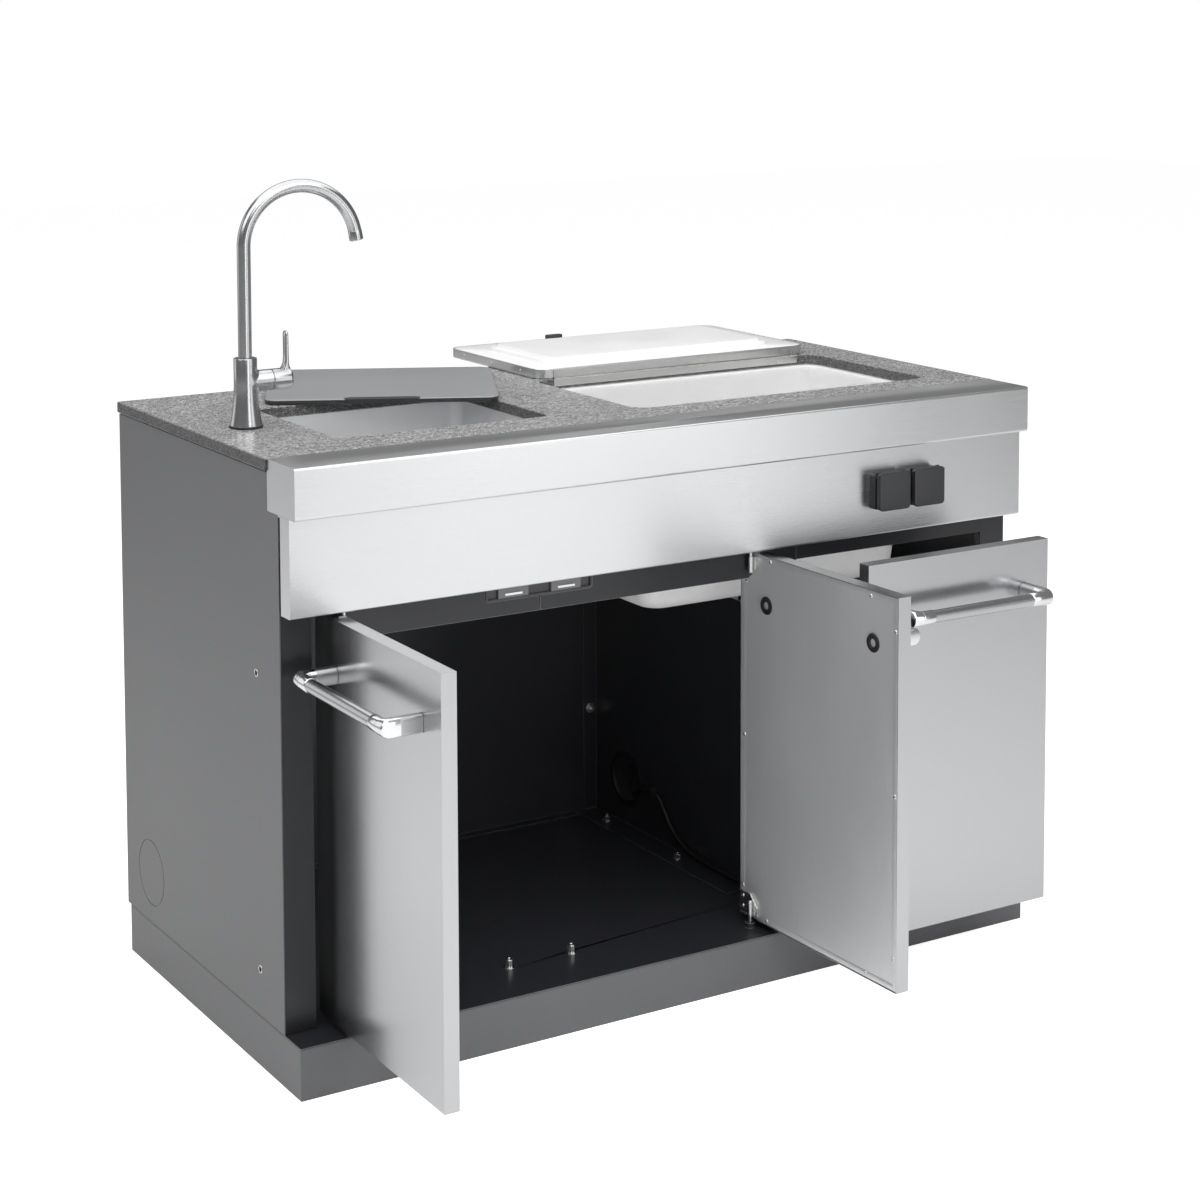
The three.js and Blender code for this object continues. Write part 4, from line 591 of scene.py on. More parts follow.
def make_pivot(which, body, matrix, up, end):
    """Corner plate with a rolled barrel, a pin and two screws."""
    z, tip = (95.0, 79.6) if up > 0 else (682.0, 694.5)
    form = Form()
    outline = ((-33.4, 0), (12.6, 0), (12.6, 15), (-6.0, 34), (-33.4, 34))
    form.rings([[(x, y, z + up * h) for x, h in outline] for y in (-6.7, -3.7)])
    form.bevel(0.7)
    low, high = sorted((z, z + up * 26))
    form.turned([(0, low), (3.6, low), (4.2, low + 0.6), (4.2, high - 0.6), (3.6, high), (0, high)], 32)
    low, high = sorted((tip, z + up * 8))
    form.turned([(0, low), (2.6, low), (3.0, low + 0.5), (3.0, high), (0, high)], 24)
    form.finish(f"{which}_door_{end}_hinge_plate", body, "zinc", (f"{which}_door_{end}_pivot",), matrix)
    heads = Form()
    for h in (9.0, 26.0):
        screw_head(heads, at(-24.0, -3.8, z + up * h) @ TO_Y, 3.8, 1.9)
    heads.finish(f"{which}_door_{end}_hinge_screws", body, "zinc", matrix=matrix)


def make_door(which):
    x, y, angle, hand = DOOR[which]
    matrix = at(x, y, 0, angle) @ Matrix.Scale(hand, 4, (1, 0, 0))
    body = f"{which}_door"
    # inset liner with turned-in edges and a shallow raised border
    liner = grown(DOOR_BOX, -1.5)
    form = Form()
    form.rings([upright(grown(liner, -inset), 0.8, y, 3) for inset, y in (
        (0.0, SKIN_BACK), (0.0, INNER - 0.9), (0.5, INNER - 0.15), (1.2, INNER), (9.0, INNER),
        (9.6, INNER - 0.25), (10.4, INNER - 0.45))], start=False)
    form.rings([upright(grown(liner, -1.2), 0.8, y, 3) for y in (SKIN_BACK, -9.0)], start=False)
    form.finish(f"{which}_door_inner_panel", body, "liner_steel", (f"{which}_door_liner",), matrix)
    for end, off in (("near", -POST_HALF), ("far", POST_HALF)):
        plug = Form().turned([
            (0, -2.6), (5.4, -2.6), (6.0, -2.0), (6.4, 1.0), (7.4, 1.9), (12.2, 2.1), (13.7, 1.6),
            (14.5, 0.5), (14.5, -0.3), (0, -2.8)], 48, at(HANDLE_X + off, INNER, HANDLE_Z) @ TO_Y)
        plug.finish(f"{which}_door_{end}_cap", body, "rubber", (f"{which}_door_{end}_plug",), matrix)
    heads = Form()
    for x, z in ((43, 680), (-21, 637), (292, 678), (350, 636), (-25, 386), (350, 388), (-28, 137), (35, 96),
                 (348, 139), (284, 98)):
        screw_head(heads, at(x, INNER, z) @ TO_Y, 3.3, 1.6)
    heads.finish(f"{which}_door_screws", body, "zinc", matrix=matrix)
    make_handle(f"{which}_door_handle", body, matrix, HANDLE_X, FACE, "steel_bar_deep")
    for up, end in ((1, "bottom"), (-1, "top")):
        make_pivot(which, body, matrix, up, end)


make_door("left")
make_door("mid")


def make_catch():
    """A frame that lines the header's slot, with two magnets whose pole strips catch the light."""
    slot = (-336.7, -149.3, 668.3, 693.7)
    front, back = -281.4, -274.0
    form = Form()
    form.rings([upright(grown(slot, -inset), max(2.5, 6.0 - inset), y, 6) for y, inset in (
        (back, 0.0), (front + 0.4, 0.0), (front, 0.5), (front, 3.0), (front + 0.5, 3.6), (back, 3.6))],
        closed=True)
    x0, x1, z0, z1 = grown(slot, 6)
    form.box(x0, x1, -277.6, -275.4, z0, z1)
    form.finish("catch_frame", "cabinet", "dark_plastic", ("magnetic_catch",), material="catch_dark")
    magnets = Form()
    poles = Form()
    for x in (-315.0, -223.0):
        magnets.box(x, x + 52.0, front - 0.2, -276.0, 671.9, 690.0)
        poles.box(x + 11.0, x + 41.0, front - 1.4, front + 1.0, 675.4, 678.6)
    magnets.bevel(0.7).finish("catch_magnets", "cabinet", "dark_plastic", material="catch_metal")
    poles.bevel(0.9, 3).finish("catch_poles", "cabinet", "dark_plastic", material="steel_handle")


make_catch()

# The drawer is drawn pulled out
DRAWER_OUT = 141.0
make_handle("drawer_handle", "drawer", at(0, -DRAWER_OUT, 0), 428.0, -318.0, "steel_bar_wide")
softened("drawer_liner", 0.4)

# Tap. Its heights are over its foot, a little above the slab.
TOP = 915.0
TAP_X, TAP_Y, TAP_Z = -594.0, 6.5, TOP + 0.3
ARM_Z = 70.0
ARM = 16.5
COLUMN = 18.1
LEVER_X = 62.5
BALL = 8.7
TUBE = 10.5
BEND = 91.5
SPOUT_START = 107.3
SPOUT_TOP = 377.7
SPOUT_SWEEP = math.radians(169.0)
SPOUT_TURN = -5.0


def smooth_profile(points, steps):
    """Catmull-Rom through the points, which keeps the first and last."""
    def between(a, b, c, d, t):
        square, cube = 2 * a - 5 * b + 4 * c - d, 3 * b - a - 3 * c + d
        return 0.5 * (2 * b + (c - a) * t + square * t * t + cube * t ** 3)

    result = []
    for i in range(len(points) - 1):
        near = (points[max(0, i - 1)], points[i], points[i + 1], points[min(len(points) - 1, i + 2)])
        for step in range(steps):
            result.append(tuple(between(*values, step / steps) for values in zip(*near)))
    result.append(points[-1])
    return result


def arm_root():
    """The fillet where the side arm grows out of the column, as rings round the arm's axis."""
    fillet = 5.5
    quarter = [i / 12 * math.pi / 2 for i in range(13)]
    stations = [(fillet * (1 - math.sin(t)), fillet * (1 - math.cos(t))) for t in quarter]
    stations += [(0.02, fillet + 2.5), (-4.0, fillet + 2.5)]
    widest = COLUMN * 0.995
    rings = []
    for grow, out in stations:
        ring = []
        for y, z in disc(ARM + grow, 64):
            y = max(-widest, min(widest, y))
            reach = abs(y) if abs(y) > ARM else min(abs(y), ARM * 0.999)
            foot = math.sqrt(COLUMN * COLUMN - reach * reach)
            ring.append((foot - 0.4 + out, y, ARM_Z + z))
        rings.append(ring)
    return rings


def make_tap():
    place = at(TAP_X, TAP_Y, TAP_Z)
    ring = Form().turned([(14, 0), (25.4, 0), (26.0, 0.6), (26.0, 2.2), (25.4, 2.9), (14, 2.9)], 64, place)
    ring.finish("tap_gasket", "cabinet", "rubber")
    flare = smooth_profile([(25.0, 4.0), (23.4, 12), (21.4, 24), (19.6, 38), (18.4, 52), (18.0, 66)], 6)
    profile = ([(0, -80.3), (15.5, -80.3), (15.5, 2.9), (24.4, 2.9), (24.9, 3.3)] + flare
               + [(18.0, 105.4), (17.5, 106.6), (16.6, 107.0), (12.2, 107.0), (11.6, 106.4), (0, 106.4)])
    arm = at(0, 0, ARM_Z) @ TO_X
    form = Form().turned(profile, 72)
    form.turned([(0, 6), (ARM, 6), (ARM, 41.2), (ARM - 0.6, 41.8), (10.0, 41.8), (10.0, 44.0), (0, 44.0)],
                64, arm)
    form.rings(arm_root())
    form.finish("tap_column", "cabinet", "tap_steel", ("tap_body",), place)
    cap = Form().turned([
        (0, 75.4), (12.4, 75.1), (14.6, 74.3), (16.0, 72.6), (ARM, 70.4), (ARM, 43.0), (ARM - 0.6, 42.4),
        (12.5, 42.4), (12.5, 60.0), (0, 60.0)], 64, arm)
    cap.finish("mixer_cap_form", "mixer", "tap_steel", ("mixer_cap",), place)


def make_lever():
    """A flat blade that grows out of the cap with a soft root and a rounded tip, and its ball."""
    form = Form()
    squareness = 0.7
    # height over the barrel's axis, shift outwards, half thickness and half width
    levels = ((4.0, 3.4, 7.6, 6.6), (11.0, 3.6, 8.0, 7.2), (15.2, 3.8, 7.9, 7.4), (17.0, 4.1, 6.9, 7.3),
              (19.0, 4.4, 5.7, 7.2), (21.5, 4.8, 4.7, 7.0), (25.0, 5.2, 3.9, 6.9), (31.0, 5.5, 3.4, 6.8),
              (42.0, 5.5, 3.2, 6.8), (56.0, 5.4, 3.1, 6.9), (65.0, 5.3, 3.0, 7.0), (69.5, 5.2, 2.8, 6.9),
              (71.8, 5.2, 2.4, 6.2), (73.1, 5.2, 1.7, 4.8), (73.7, 5.2, 0.8, 2.8))
    form.rings([[(lean + thick * math.copysign(abs(c) ** squareness, c),
                  wide * math.copysign(abs(s) ** squareness, s), height) for c, s in disc(1.0, 28)]
                for height, lean, thick, wide in levels])
    middle = [math.pi * (i / 12 - 0.5) for i in range(1, 12)]
    form.turned([(0, -BALL)] + [(BALL * math.cos(a), BALL * math.sin(a)) for a in middle] + [(0, BALL)], 32)
    form.finish("mixer_lever_form", "lever", "tap_steel", ("mixer_lever",),
                at(TAP_X + LEVER_X, TAP_Y, TAP_Z + ARM_Z))


def make_spout():
    place = at(TAP_X, TAP_Y, TAP_Z, SPOUT_TURN)
    straight, turns = 6, 56
    centre = SPOUT_TOP - TUBE - BEND

    def on_arc(angle):
        return BEND - BEND * math.cos(angle), 0, centre + BEND * math.sin(angle)

    path = [(0, 0, SPOUT_START + (centre - SPOUT_START) * i / straight) for i in range(straight)]
    path += [on_arc(SPOUT_SWEEP * i / turns) for i in range(turns + 1)]
    outlet = Matrix.Translation(on_arc(SPOUT_SWEEP)) @ Matrix.Rotation(SPOUT_SWEEP, 4, "Y")
    form = Form().sweep(path, disc(TUBE, 40), up=(1, 0, 0))
    form.turned([(0, -1.5), (10.55, -1.5), (10.85, -0.9), (10.95, 13.2), (10.4, 14.0), (9.6, 14.0),
                 (9.3, 11.5), (0, 11.5)], 48, outlet)
    form.finish("spout_form", "spout", "tap_steel", ("spout_tube",), place)
    insert = Form().turned([(0, 11.9), (9.0, 11.9), (9.0, 13.0), (7.8, 13.3), (7.6, 12.6), (0, 12.6)], 36,
                           outlet)
    insert.finish("spout_insert", "spout", "dark_plastic", matrix=place)


make_tap()
make_lever()
make_spout()

# Sink and ice bin, both under the slab
UNDER_SLAB = 896.7


def basin(box, radius, top, taper, bottom, fillet, hole):
    """The skin of a basin from its rim down, and then in to its drain's hole."""
    rings = [rounded(box, radius, top, 10)]
    x0, x1, y0, y1 = box
    steps = 8
    for step in range(steps, -1, -1):
        angle = step / steps * math.pi / 2
        inward = fillet * (1 - math.sin(angle))
        z = bottom + fillet * (1 - math.cos(angle))
        fall = (top - z) / (top - bottom)
        ix, iy = inward + taper[0] * fall, inward + taper[1] * fall
        rings.append(rounded((x0 + ix, x1 - ix, y0 + iy, y1 - iy), radius, z, 10))
    cx, cy, hole_radius = hole
    floor_fall = 1.2
    last = rings[-1]
    for share in (0.5, 1.0):
        ring = []
        for x, y, _ in last:
            target = Vector((cx, cy)) + Vector((x - cx, y - cy)).normalized() * hole_radius
            point = Vector((x, y)).lerp(target, share)
            ring.append((point.x, point.y, bottom - floor_fall * share))
        rings.append(ring)
    return rings


def make_sink():
    box = (-516.0, -146.0, -153.5, 150.5)
    radius, wall, top, bottom = 20.0, 1.2, UNDER_SLAB, UNDER_SLAB - 190.0
    hole = ((box[0] + box[1]) / 2, (box[2] + box[3]) / 2, 44.0)
    inner = basin(grown(box, 2.0), radius + 2.0, top, (0, 0), bottom + wall, 18.0, hole)
    outer = basin(grown(box, 3.2), radius + 3.2, top - 1.5, (0, 0), bottom, 19.2, hole)
    rim = [rounded(grown(box, 22), radius + 22, z, 10) for z in (top - 1.5, top)]
    form = Form().rings(outer[::-1] + rim + inner, closed=True)
    form.finish("sink_bowl_form", "cabinet", "bowl_steel", ("sink_bowl",), angle=40)
    drain = at(hole[0], hole[1], bottom + 0.3)
    strainer = Form().turned([
        (0, -40), (20, -40), (20, -68), (23, -68), (23, -43), (41, -40), (41, -0.6), (54, 0.3), (54.4, 0.8),
        (53.2, 1.9), (46.0, 2.3), (41.0, 1.4), (38.4, -1.5), (37.6, -6), (36.4, -30), (34.0, -35.5),
        (0, -35.5)], 64)
    strainer.finish("sink_strainer", "cabinet", "bowl_steel", ("sink_drain",), drain)
    basket = Form().turned([
        (0, -33), (24, -33), (28, -30), (33, -8), (33, -6.5), (31.6, -6.5), (27, -28.6), (23.4, -31.4),
        (0, -31.4)], 48)
    basket.turned([(0, -31.4), (2.4, -31.4), (2.4, -14), (5.4, -12.5), (5.8, -10), (4.2, -8), (0, -7.4)], 24)
    for x, y in disc(16.0, 12):
        basket.turned([(0, 0), (1.7, 0), (1.7, 0.5), (0, 0.5)], 12, at(x, y, -31.5))
    basket.finish("sink_basket", "cabinet", "bowl_steel", matrix=drain)


def make_bin():
    opening = (4.0, 594.0, -172.5, 160.0)
    box = grown(opening, -12.0)
    radius, wall, rim_thick, top, bottom = 24.0, 6.0, 4.0, UNDER_SLAB, UNDER_SLAB - 329.0
    taper = (34, 29)
    hole = (299.0, -6.25, 14.4)
    inner = basin(box, radius, top, taper, bottom + wall, 22.0, hole)
    outer = basin(grown(box, wall), radius + wall, top - rim_thick, taper, bottom, 28.0, hole)
    outer[-1] = [(x, y, bottom) for x, y, _ in outer[-1]]
    rim = [rounded(grown(opening, 25.0), 42.5, z, 10) for z in (top - rim_thick, top)]
    lip = [rounded(grown(box, 2.2), radius + 2.2, top, 10),
           rounded(grown(box, 0.7), radius + 0.7, top - 0.7, 10)]
    form = Form().rings(outer[::-1] + rim + lip + inner, closed=True)
    form.finish("ice_bin_form", "cabinet", "white_plastic", ("ice_bin",), material="white_bin", angle=40)
    drain = Form().turned([
        (0, 1.0), (5.0, 1.2), (11.0, 5.0), (21.0, 6.3), (23.4, 6.8), (24.0, 7.6), (22.0, 8.6), (13.4, 7.6),
        (12.0, 5.4), (12.0, 3.0), (14.0, 3.0), (14.0, -0.6), (22.0, -0.6), (22.0, -9.0), (14.0, -11.0),
        (14.0, -38.0), (11.0, -40.0), (0, -40.0)], 56)
    drain.finish("ice_bin_drain_form", "cabinet", "white_plastic", ("ice_bin_drain",),
                 at(hole[0], hole[1], bottom))


make_sink()
make_bin()


# Lid, in its hinge's frame and then folded over onto the slab
def make_lid():
    folded = at(0, 157.9, 915.3) @ Matrix.Rotation(math.pi, 4, "X")
    pan = (14.0, 584.0, -324.1, -2.1)
    corner, roll, steps = 27.0, 3.0, 6
    # pan with a rolled top edge
    levels = []
    for step in range(steps + 1):
        angle = step / steps * math.pi / 2
        levels.append((roll * (1 - math.sin(angle)), -roll * (1 - math.cos(angle))))
    levels += [(0.0, -16.4), (0.4, -17.0), (1.2, -17.0), (1.2, -2.4)]
    form = Form().rings([rounded(grown(pan, -inset), corner - inset, z, 12) for inset, z in levels])
    form.finish("lid_pan_form", "lid", "stainless", ("lid_pan",), folded, "steel_level_painted_light")
    # liner: a flat border, a step, and a raised plug with a second soft step
    liner = grown(pan, -2.0)
    rings = [rounded(grown(liner, -inset), 25.0 - inset, z, 12)
             for inset, z in ((0, -3.0), (0, -15.4), (0.6, -16.0))]
    plug = (liner[0] + 46, liner[1] - 46, liner[2] + 47, liner[3] - 36)
    rings += [rounded(grown(plug, grow), radius, z, 12) for grow, radius, z in (
        (3.0, 31.5, -16.0), (1.2, 30.6, -16.5), (0.2, 30.1, -17.6), (-0.4, 29.8, -20.6), (-1.4, 29.2, -21.8),
        (-3.0, 28.4, -22.3), (-7.5, 26.0, -22.5), (-9.0, 25.3, -22.9), (-10.2, 24.6, -24.2),
        (-10.9, 24.2, -25.8), (-12.4, 23.6, -26.8), (-14.5, 22.6, -27.0))]
    Form().rings(rings).finish("lid_liner_form", "lid", "white_plastic", ("lid_liner",), folded, angle=50)
    # recessed finger pull
    pull = (197.0, 231.0, -289.1, -277.1)
    rings = [rounded(grown(pull, grow), max(1.2, 5.0 + grow), z) for grow, z in (
        (1.5, -16.3), (0.2, -18.0), (0.0, -29.0), (-0.8, -30.2), (-2.2, -30.6))]
    Form().rings(rings).finish("lid_pull_form", "lid", "dark_plastic", ("lid_pull",), folded)
    # screws through the pan's skirt
    x0, x1, far, near = pan
    skirt_z, margin, pitch = -9.0, 60, 112.5
    places = []
    for i in range(5):
        x = x0 + margin + i * pitch
        places += [at(x, near, skirt_z) @ TO_Y, at(x, far, skirt_z) @ TO_FRONT]
    for y in (near - margin, (near + far) / 2, far + margin):
        places += [at(x0, y, skirt_z) @ facing(-1), at(x1, y, skirt_z) @ TO_X]
    heads = Form()
    for place in places:
        screw_head(heads, place, 2.6, 1.2)
    heads.finish("lid_screws", "lid", "zinc", matrix=folded)


make_lid()


# Loose sink cover, lying turned on the slab
def make_cover():
    place = at(-248.2, 231.8, TOP + 0.3, -26.4)
    x, y, corner, edge_top, roll, steps = 190.0, 161.0, 22.0, 6.1, 2.6, 5
    box = (-x, x, -y, y)
    levels = [(2.2, 0.0), (1.0, 0.5), (0.2, 2.0), (0.0, 4.4)]
    for step in range(1, steps + 1):
        angle = step / steps * math.pi / 2
        levels.append((roll * (1 - math.cos(angle)), edge_top + roll * math.sin(angle)))
    rings = [rounded(grown(box, -inset), corner - inset, z, 12) for inset, z in levels]
    # The lower band of the rim, under the rolled top edge, is in the dark material: painted shade.
    seam = 5
    for name, part, material in (("edge", rings[:seam], "dark"), ("top", rings[seam - 1:], "cover_grey")):
        Form().rings(part).finish(f"sink_cover_{name}", "loose_sink_cover", "cover_grey", ("sink_cover",),
                                  place, material)
    front = -y
    grip = Form().rings([
        [(-w, front - lap, low), (w, front - lap, low), (w, front + deep, high), (-w, front + deep, high)]
        for w, lap, deep, low, high in (
            (56, 1.2, 12, 0.6, 0.6), (56, 1.2, 12, 8.0, 8.6), (55, 0.4, 11.4, 9.0, 9.4))])
    grip.bevel(0.6)
    for side in (-1, 1):
        grip.turned([(0, 0.6), (5.6, 0.6), (6.0, 1.2), (6.0, 8.2), (5.2, 9.0), (0, 9.0)], 28,
                    at(side * 57.0, front + 5.4, 0))
    grip.finish("sink_cover_grip_form", "loose_sink_cover", "rubber", ("sink_cover_grip",), place, "dark")


make_cover()

# Sockets
SOCKET_X = {"left": 388.0, "right": 459.0}
SOCKET_Z = 768.5
FLAP_Z = SOCKET_Z + 1.4
EAR_Z = 799.0


def plate(form, x, z, width, height, radius, levels):
    """A rounded plate of levels, each a depth and how far its outline is drawn in."""
    box = (x - width / 2, x + width / 2, z - height / 2, z + height / 2)
    form.rings([upright(grown(box, -inset), max(0.6, radius - inset), y) for y, inset in levels])


def make_sockets():
    base = Form()
    for x in SOCKET_X.values():
        plate(base, x, SOCKET_Z, 62, 59, 7, ((-318.3, 0), (-328.0, 0.0), (-329.0, 0.4), (-329.4, 1.2)))
        plate(base, x, SOCKET_Z, 53, 50, 5, ((-329.0, 0), (-334.0, 0), (-334.6, 0.5)))
        for side in (-1, 1):
            ear = x + side * 25.3
            base.turned([(0, -3), (2.2, -3), (2.2, 3), (0, 3)], 20, at(ear, -332.6, EAR_Z) @ TO_X)
            base.box(ear - 3, ear + 3, -334.4, -329.0, EAR_Z - 7.0, EAR_Z)
    base.finish("socket_bodies", "cabinet", "dark_plastic", ("socket_bases",))
    behind = Form().box(343, 504, -315.7, -283.0, 735.5, 801.5)
    behind.turned([(0, -286), (7, -286), (7, -269), (0, -269)], 24, at(423.5, 0, SOCKET_Z) @ TO_Y)
    behind.bevel(1.5).finish("socket_rear_box", "cabinet", "dark_plastic")
    for name, x in SOCKET_X.items():
        cover = Form()
        plate(cover, x, FLAP_Z, 60.8, 60.6, 6, (
            (-334.9, 0.6), (-335.4, 0.1), (-336.0, 0.0), (-340.6, 0.0), (-341.1, 0.5), (-341.4, 1.6),
            (-343.0, 1.6)))
        plate(cover, x, FLAP_Z, 62, 62, 6.6, (
            (-341.6, 1.2), (-341.7, 0.3), (-342.1, 0.0), (-343.6, 0.0), (-344.5, 0.35), (-345.0, 1.1),
            (-345.1, 2.2)))
        cover.box(x - 26, x + 26, -336.4, -330.8, EAR_Z, EAR_Z + 1.4)
        cover.finish(f"{name}_socket_cover_form", f"{name}_socket_flap", "dark_plastic",
                     (f"{name}_socket_cover",))
        # A thin black disc at each side of the cover's top stands for the dark hole of its hinge: painted
        # shade.
        pin = Form()
        for side in (-1, 1):
            pin.turned([(0, -0.2), (1.5, -0.2), (1.5, 0.12), (0, 0.12)], 20,
                       at(x + side * 30.9, -342.9, FLAP_Z + 26.6) @ facing(side))
        pin.finish(f"{name}_socket_hinge_hole_painted_shade", f"{name}_socket_flap", "dark_plastic", material="black_rubber")


make_sockets()

# Power lead and the edge rings of its holes
LEAD = 4.0
ROUTE = [(423.5, -261.5, 768.5), (423.5, -248, 768.5), (440, -232, 770), (500, -222, 780), (570, -220, 795),
         (626, -214, 800), (655, -190, 800), (664, -150, 800), (665.6, -80, 800), (666, 0, 800),
         (666, 150, 800), (665.6, 240, 799), (662, 290, 794), (648, 318, 778), (622, 328, 745),
         (606, 328.8, 690), (600, 328.8, 560), (600, 328.8, 400), (580, 328.6, 260), (500, 328, 190),
         (400, 322, 165), (320, 304, 152), (268, 262, 144), (246, 230, 141), (237.5, 214, 139.5),
         (230.5, 200, 141.5), (228.2, 187, 150.5), (229, 176, 159), (230.8, 162, 164), (231, 146, 165.5),
         (231, 131.5, 165), (231, 118, 160), (231, 100, 144), (231, 79.5, 120), (231, 45, 98.5),
         (231, 5, 89.5), (231, -40, 86.5), (231, -90, 85.5), (230, -130, 86.5), (225, -162, 90),
         (217, -186, 94), (213.4, -199, 90), (213, -200, 84), (213, -200, 79)]
lead = Form().sweep(smooth_profile(ROUTE, 5), disc(LEAD, 20))
lead.finish("power_lead_form", "cabinet", "rubber", ("power_lead",), angle=60)


def make_edge_ring(name, node, hole, inner, lip, matrix):
    """A rubber edge ring with soft lips on both sides of its sheet."""
    half = 1.3
    outer = hole + lip
    low = [(inner, -half - 0.6), (inner + 0.8, -half - 1.6), (outer - 0.9, -half - 1.8), (outer, -half - 1.0),
           (outer - 0.2, -half), (hole - 0.3, -half)]
    high = [(radius, -z) for radius, z in low[::-1]]
    Form().turned(low + high, 72, matrix).finish(name, "cabinet", "rubber", (node,))


make_edge_ring("divider_ring_form", "divider_cable_ring", 45.0, 41.0, 4.0, at(237.0, 229.0, 162.0) @ TO_X)
make_edge_ring("floor_ring_form", "floor_cable_ring", 11.0, 4.3, 3.0, at(213.0, -200.0, 76.4))


# Fasteners
def bolt(form, matrix, height):
    """A washer, a hexagon nut and the end of its stud."""
    washer = 9.0
    form.turned([(0, -0.2), (washer, -0.2), (washer, 1.2), (washer - 0.5, 1.6), (0, 1.6)], 32, matrix)
    form.turned([(0, 1.5), (5.9, 1.5), (5.9, height - 0.7), (5.2, height), (0, height)], 6, matrix)
    form.turned([(0, height - 0.1), (3.2, height - 0.1), (3.2, height + 3.2), (2.7, height + 3.8),
                 (0, height + 3.8)], 20, matrix)


def make_fasteners():
    form = Form()
    flange_nut = 7.8
    for x in (-272.5, -160.5):
        bolt(form, at(x, -231.3, 77.4), 13.0)
    for y in (259.0, 28.0):
        bolt(form, at(213.0, y, 79.8), flange_nut)
    for z in (268.0, 592.0):
        bolt(form, at(222.5, 331.4, z) @ TO_FRONT, flange_nut)
    form.finish("frame_bolts", "cabinet", "zinc", angle=25)
    rims = Form()
    for z in (148.0, 592.0):
        for side in (-1, 1):
            rims.turned([(4.4, -1.6), (4.4, 0.2), (4.9, 0.55), (5.9, 0.5), (6.2, 0.05), (6.2, -0.1),
                         (4.9, -0.1)], 32, at(side * 673.0, -197.0, z) @ facing(side))
    rims.finish("panel_hole_rims", "cabinet", "zinc")


make_fasteners()

# Camera, light and floor. Places and sizes are in metres.
scene = bpy.context.scene
scene.view_settings.view_transform = "Standard"
WHITE = (1.0, 1.0, 1.0)
PICTURE = 1200.0
SENSOR = 36.0
FOCAL_PIXELS = 2473.22
CENTRE_PIXELS = (550.87, 188.81)
CAMERA_PLACE = (-2.1069, -3.4521, 1.5822)
CAMERA_ANGLES = (30.7513, 4.6253, -0.2612)


def make_camera():
    yaw, pitch, roll = (math.radians(value) for value in CAMERA_ANGLES)
    forward = Vector((math.sin(yaw) * math.cos(pitch), math.cos(yaw) * math.cos(pitch), -math.sin(pitch)))
    level = Vector((math.cos(yaw), -math.sin(yaw), 0.0))
    above = level.cross(forward)
    right = level * math.cos(roll) + above * math.sin(roll)
    up = above * math.cos(roll) - level * math.sin(roll)
    data = bpy.data.cameras.new("camera")
    data.sensor_width = SENSOR
    data.lens = SENSOR * FOCAL_PIXELS / PICTURE
    data.shift_x = (PICTURE / 2 - CENTRE_PIXELS[0]) / PICTURE
    data.shift_y = (CENTRE_PIXELS[1] - PICTURE / 2) / PICTURE
    data.clip_start = 0.05
    data.clip_end = 60.0
    camera = bpy.data.objects.new("camera", data)
    matrix = Matrix((right, up, -forward)).transposed().to_4x4()
    matrix.translation = Vector(CAMERA_PLACE)
    camera.matrix_world = matrix
    scene.collection.objects.link(camera)
    scene.camera = camera


def lamp(name, place, target, size, power):
    data = bpy.data.lights.new(name, "AREA")
    data.shape = "RECTANGLE"
    data.size, data.size_y = size
    data.energy = power
    light = bpy.data.objects.new(name, data)
    light.location = place
    light.rotation_euler = (Vector(target) - Vector(place)).to_track_quat("-Z", "Y").to_euler()
    scene.collection.objects.link(light)


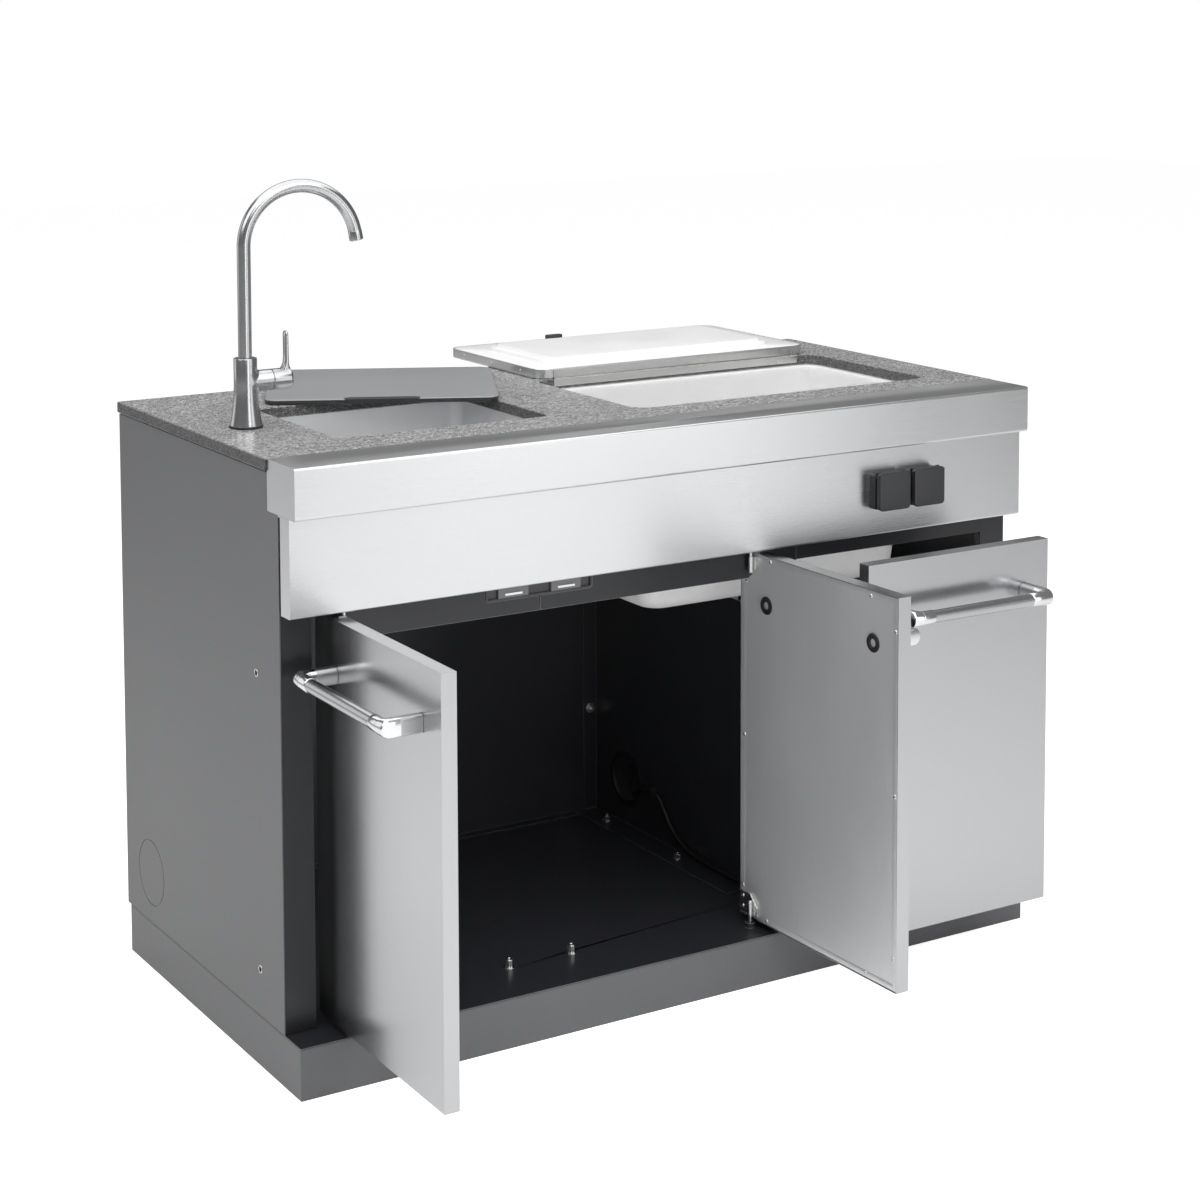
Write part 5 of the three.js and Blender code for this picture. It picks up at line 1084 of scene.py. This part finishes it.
def make_world():
    """An even, dim studio that the object is lit by and mirrors, and plain white for the camera."""
    world = bpy.data.worlds.new("studio")
    scene.world = world
    graph = Graph(world)
    graph.tree.nodes.clear()
    light_path = graph.add("ShaderNodeLightPath").outputs
    strength = graph.spread(light_path["Is Glossy Ray"], 0.12, 0.2)
    soft = graph.add("ShaderNodeBackground", Color=WHITE, Strength=strength)
    white = graph.add("ShaderNodeBackground", Color=WHITE, Strength=1.0)
    seen = graph.math("MAXIMUM", light_path["Is Camera Ray"], light_path["Is Transmission Ray"])
    mixed = graph.add("ShaderNodeMixShader", Fac=seen)
    graph.feed(mixed.inputs[1], soft.outputs["Background"])
    graph.feed(mixed.inputs[2], white.outputs["Background"])
    graph.add("ShaderNodeOutputWorld", Surface=mixed.outputs["Shader"])


def make_floor():
    """A white floor just under the plinth, which shows the object's shadow."""
    size, below = 14.0, -0.0006
    corners = ((-size, -size, 0), (size, -size, 0), (size, size, 0), (-size, size, 0))
    source = bmesh.new()
    source.faces.new([source.verts.new(corner) for corner in corners])
    mesh = bpy.data.meshes.new("studio_floor")
    source.to_mesh(mesh)
    source.free()
    floor = bpy.data.objects.new("studio_floor", mesh)
    floor.location.z = below
    scene.collection.objects.link(floor)
    material = bpy.data.materials.new("studio_white")
    graph = Graph(material)
    graph.tree.nodes.clear()
    diffuse = graph.add("ShaderNodeBsdfDiffuse", Color=(0.9, 0.9, 0.9))
    seen = graph.add("ShaderNodeLightPath").outputs["Is Camera Ray"]
    glow = graph.add("ShaderNodeEmission", Strength=graph.spread(seen, 0.2, 0.88))
    both = graph.add("ShaderNodeAddShader")
    graph.feed(both.inputs[0], diffuse.outputs["BSDF"])
    graph.feed(both.inputs[1], glow.outputs["Emission"])
    graph.add("ShaderNodeOutputMaterial", Surface=both.outputs["Shader"])
    mesh.materials.append(material)
    floor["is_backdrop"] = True


make_camera()
make_world()
make_floor()
# each lamp's place, what it points at, its width and height, and its power in watts
lamp("front_softbox", (2.05, -4.1, 1.5), (0.0, -0.3, 0.7), (1.7, 3.2), 22.0)
lamp("front_strip", (-0.15, -4.0, 1.3), (-0.5, 0.0, 0.9), (1.1, 2.4), 18.0)
lamp("front_top_softbox", (-0.4, -2.3, 3.0), (-0.1, -0.6, 0.0), (3.6, 2.4), 62.0)
lamp("left_top_softbox", (-2.6, -0.4, 2.9), (-0.9, -0.1, 0.0), (2.2, 2.8), 36.0)
lamp("top_softbox", (0.1, 0.4, 3.0), (0.0, 0.1, 0.6), (3.6, 2.8), 52.0)
lamp("back_left_softbox", (-2.6, 2.6, 1.6), (-0.3, 0.0, 0.6), (2.0, 2.0), 10.0)

def plain(bounds):
    return [[float(value) for value in corner] for corner in bounds]
{"cad": plain(CAD_BOX), "visual": plain(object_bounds())}
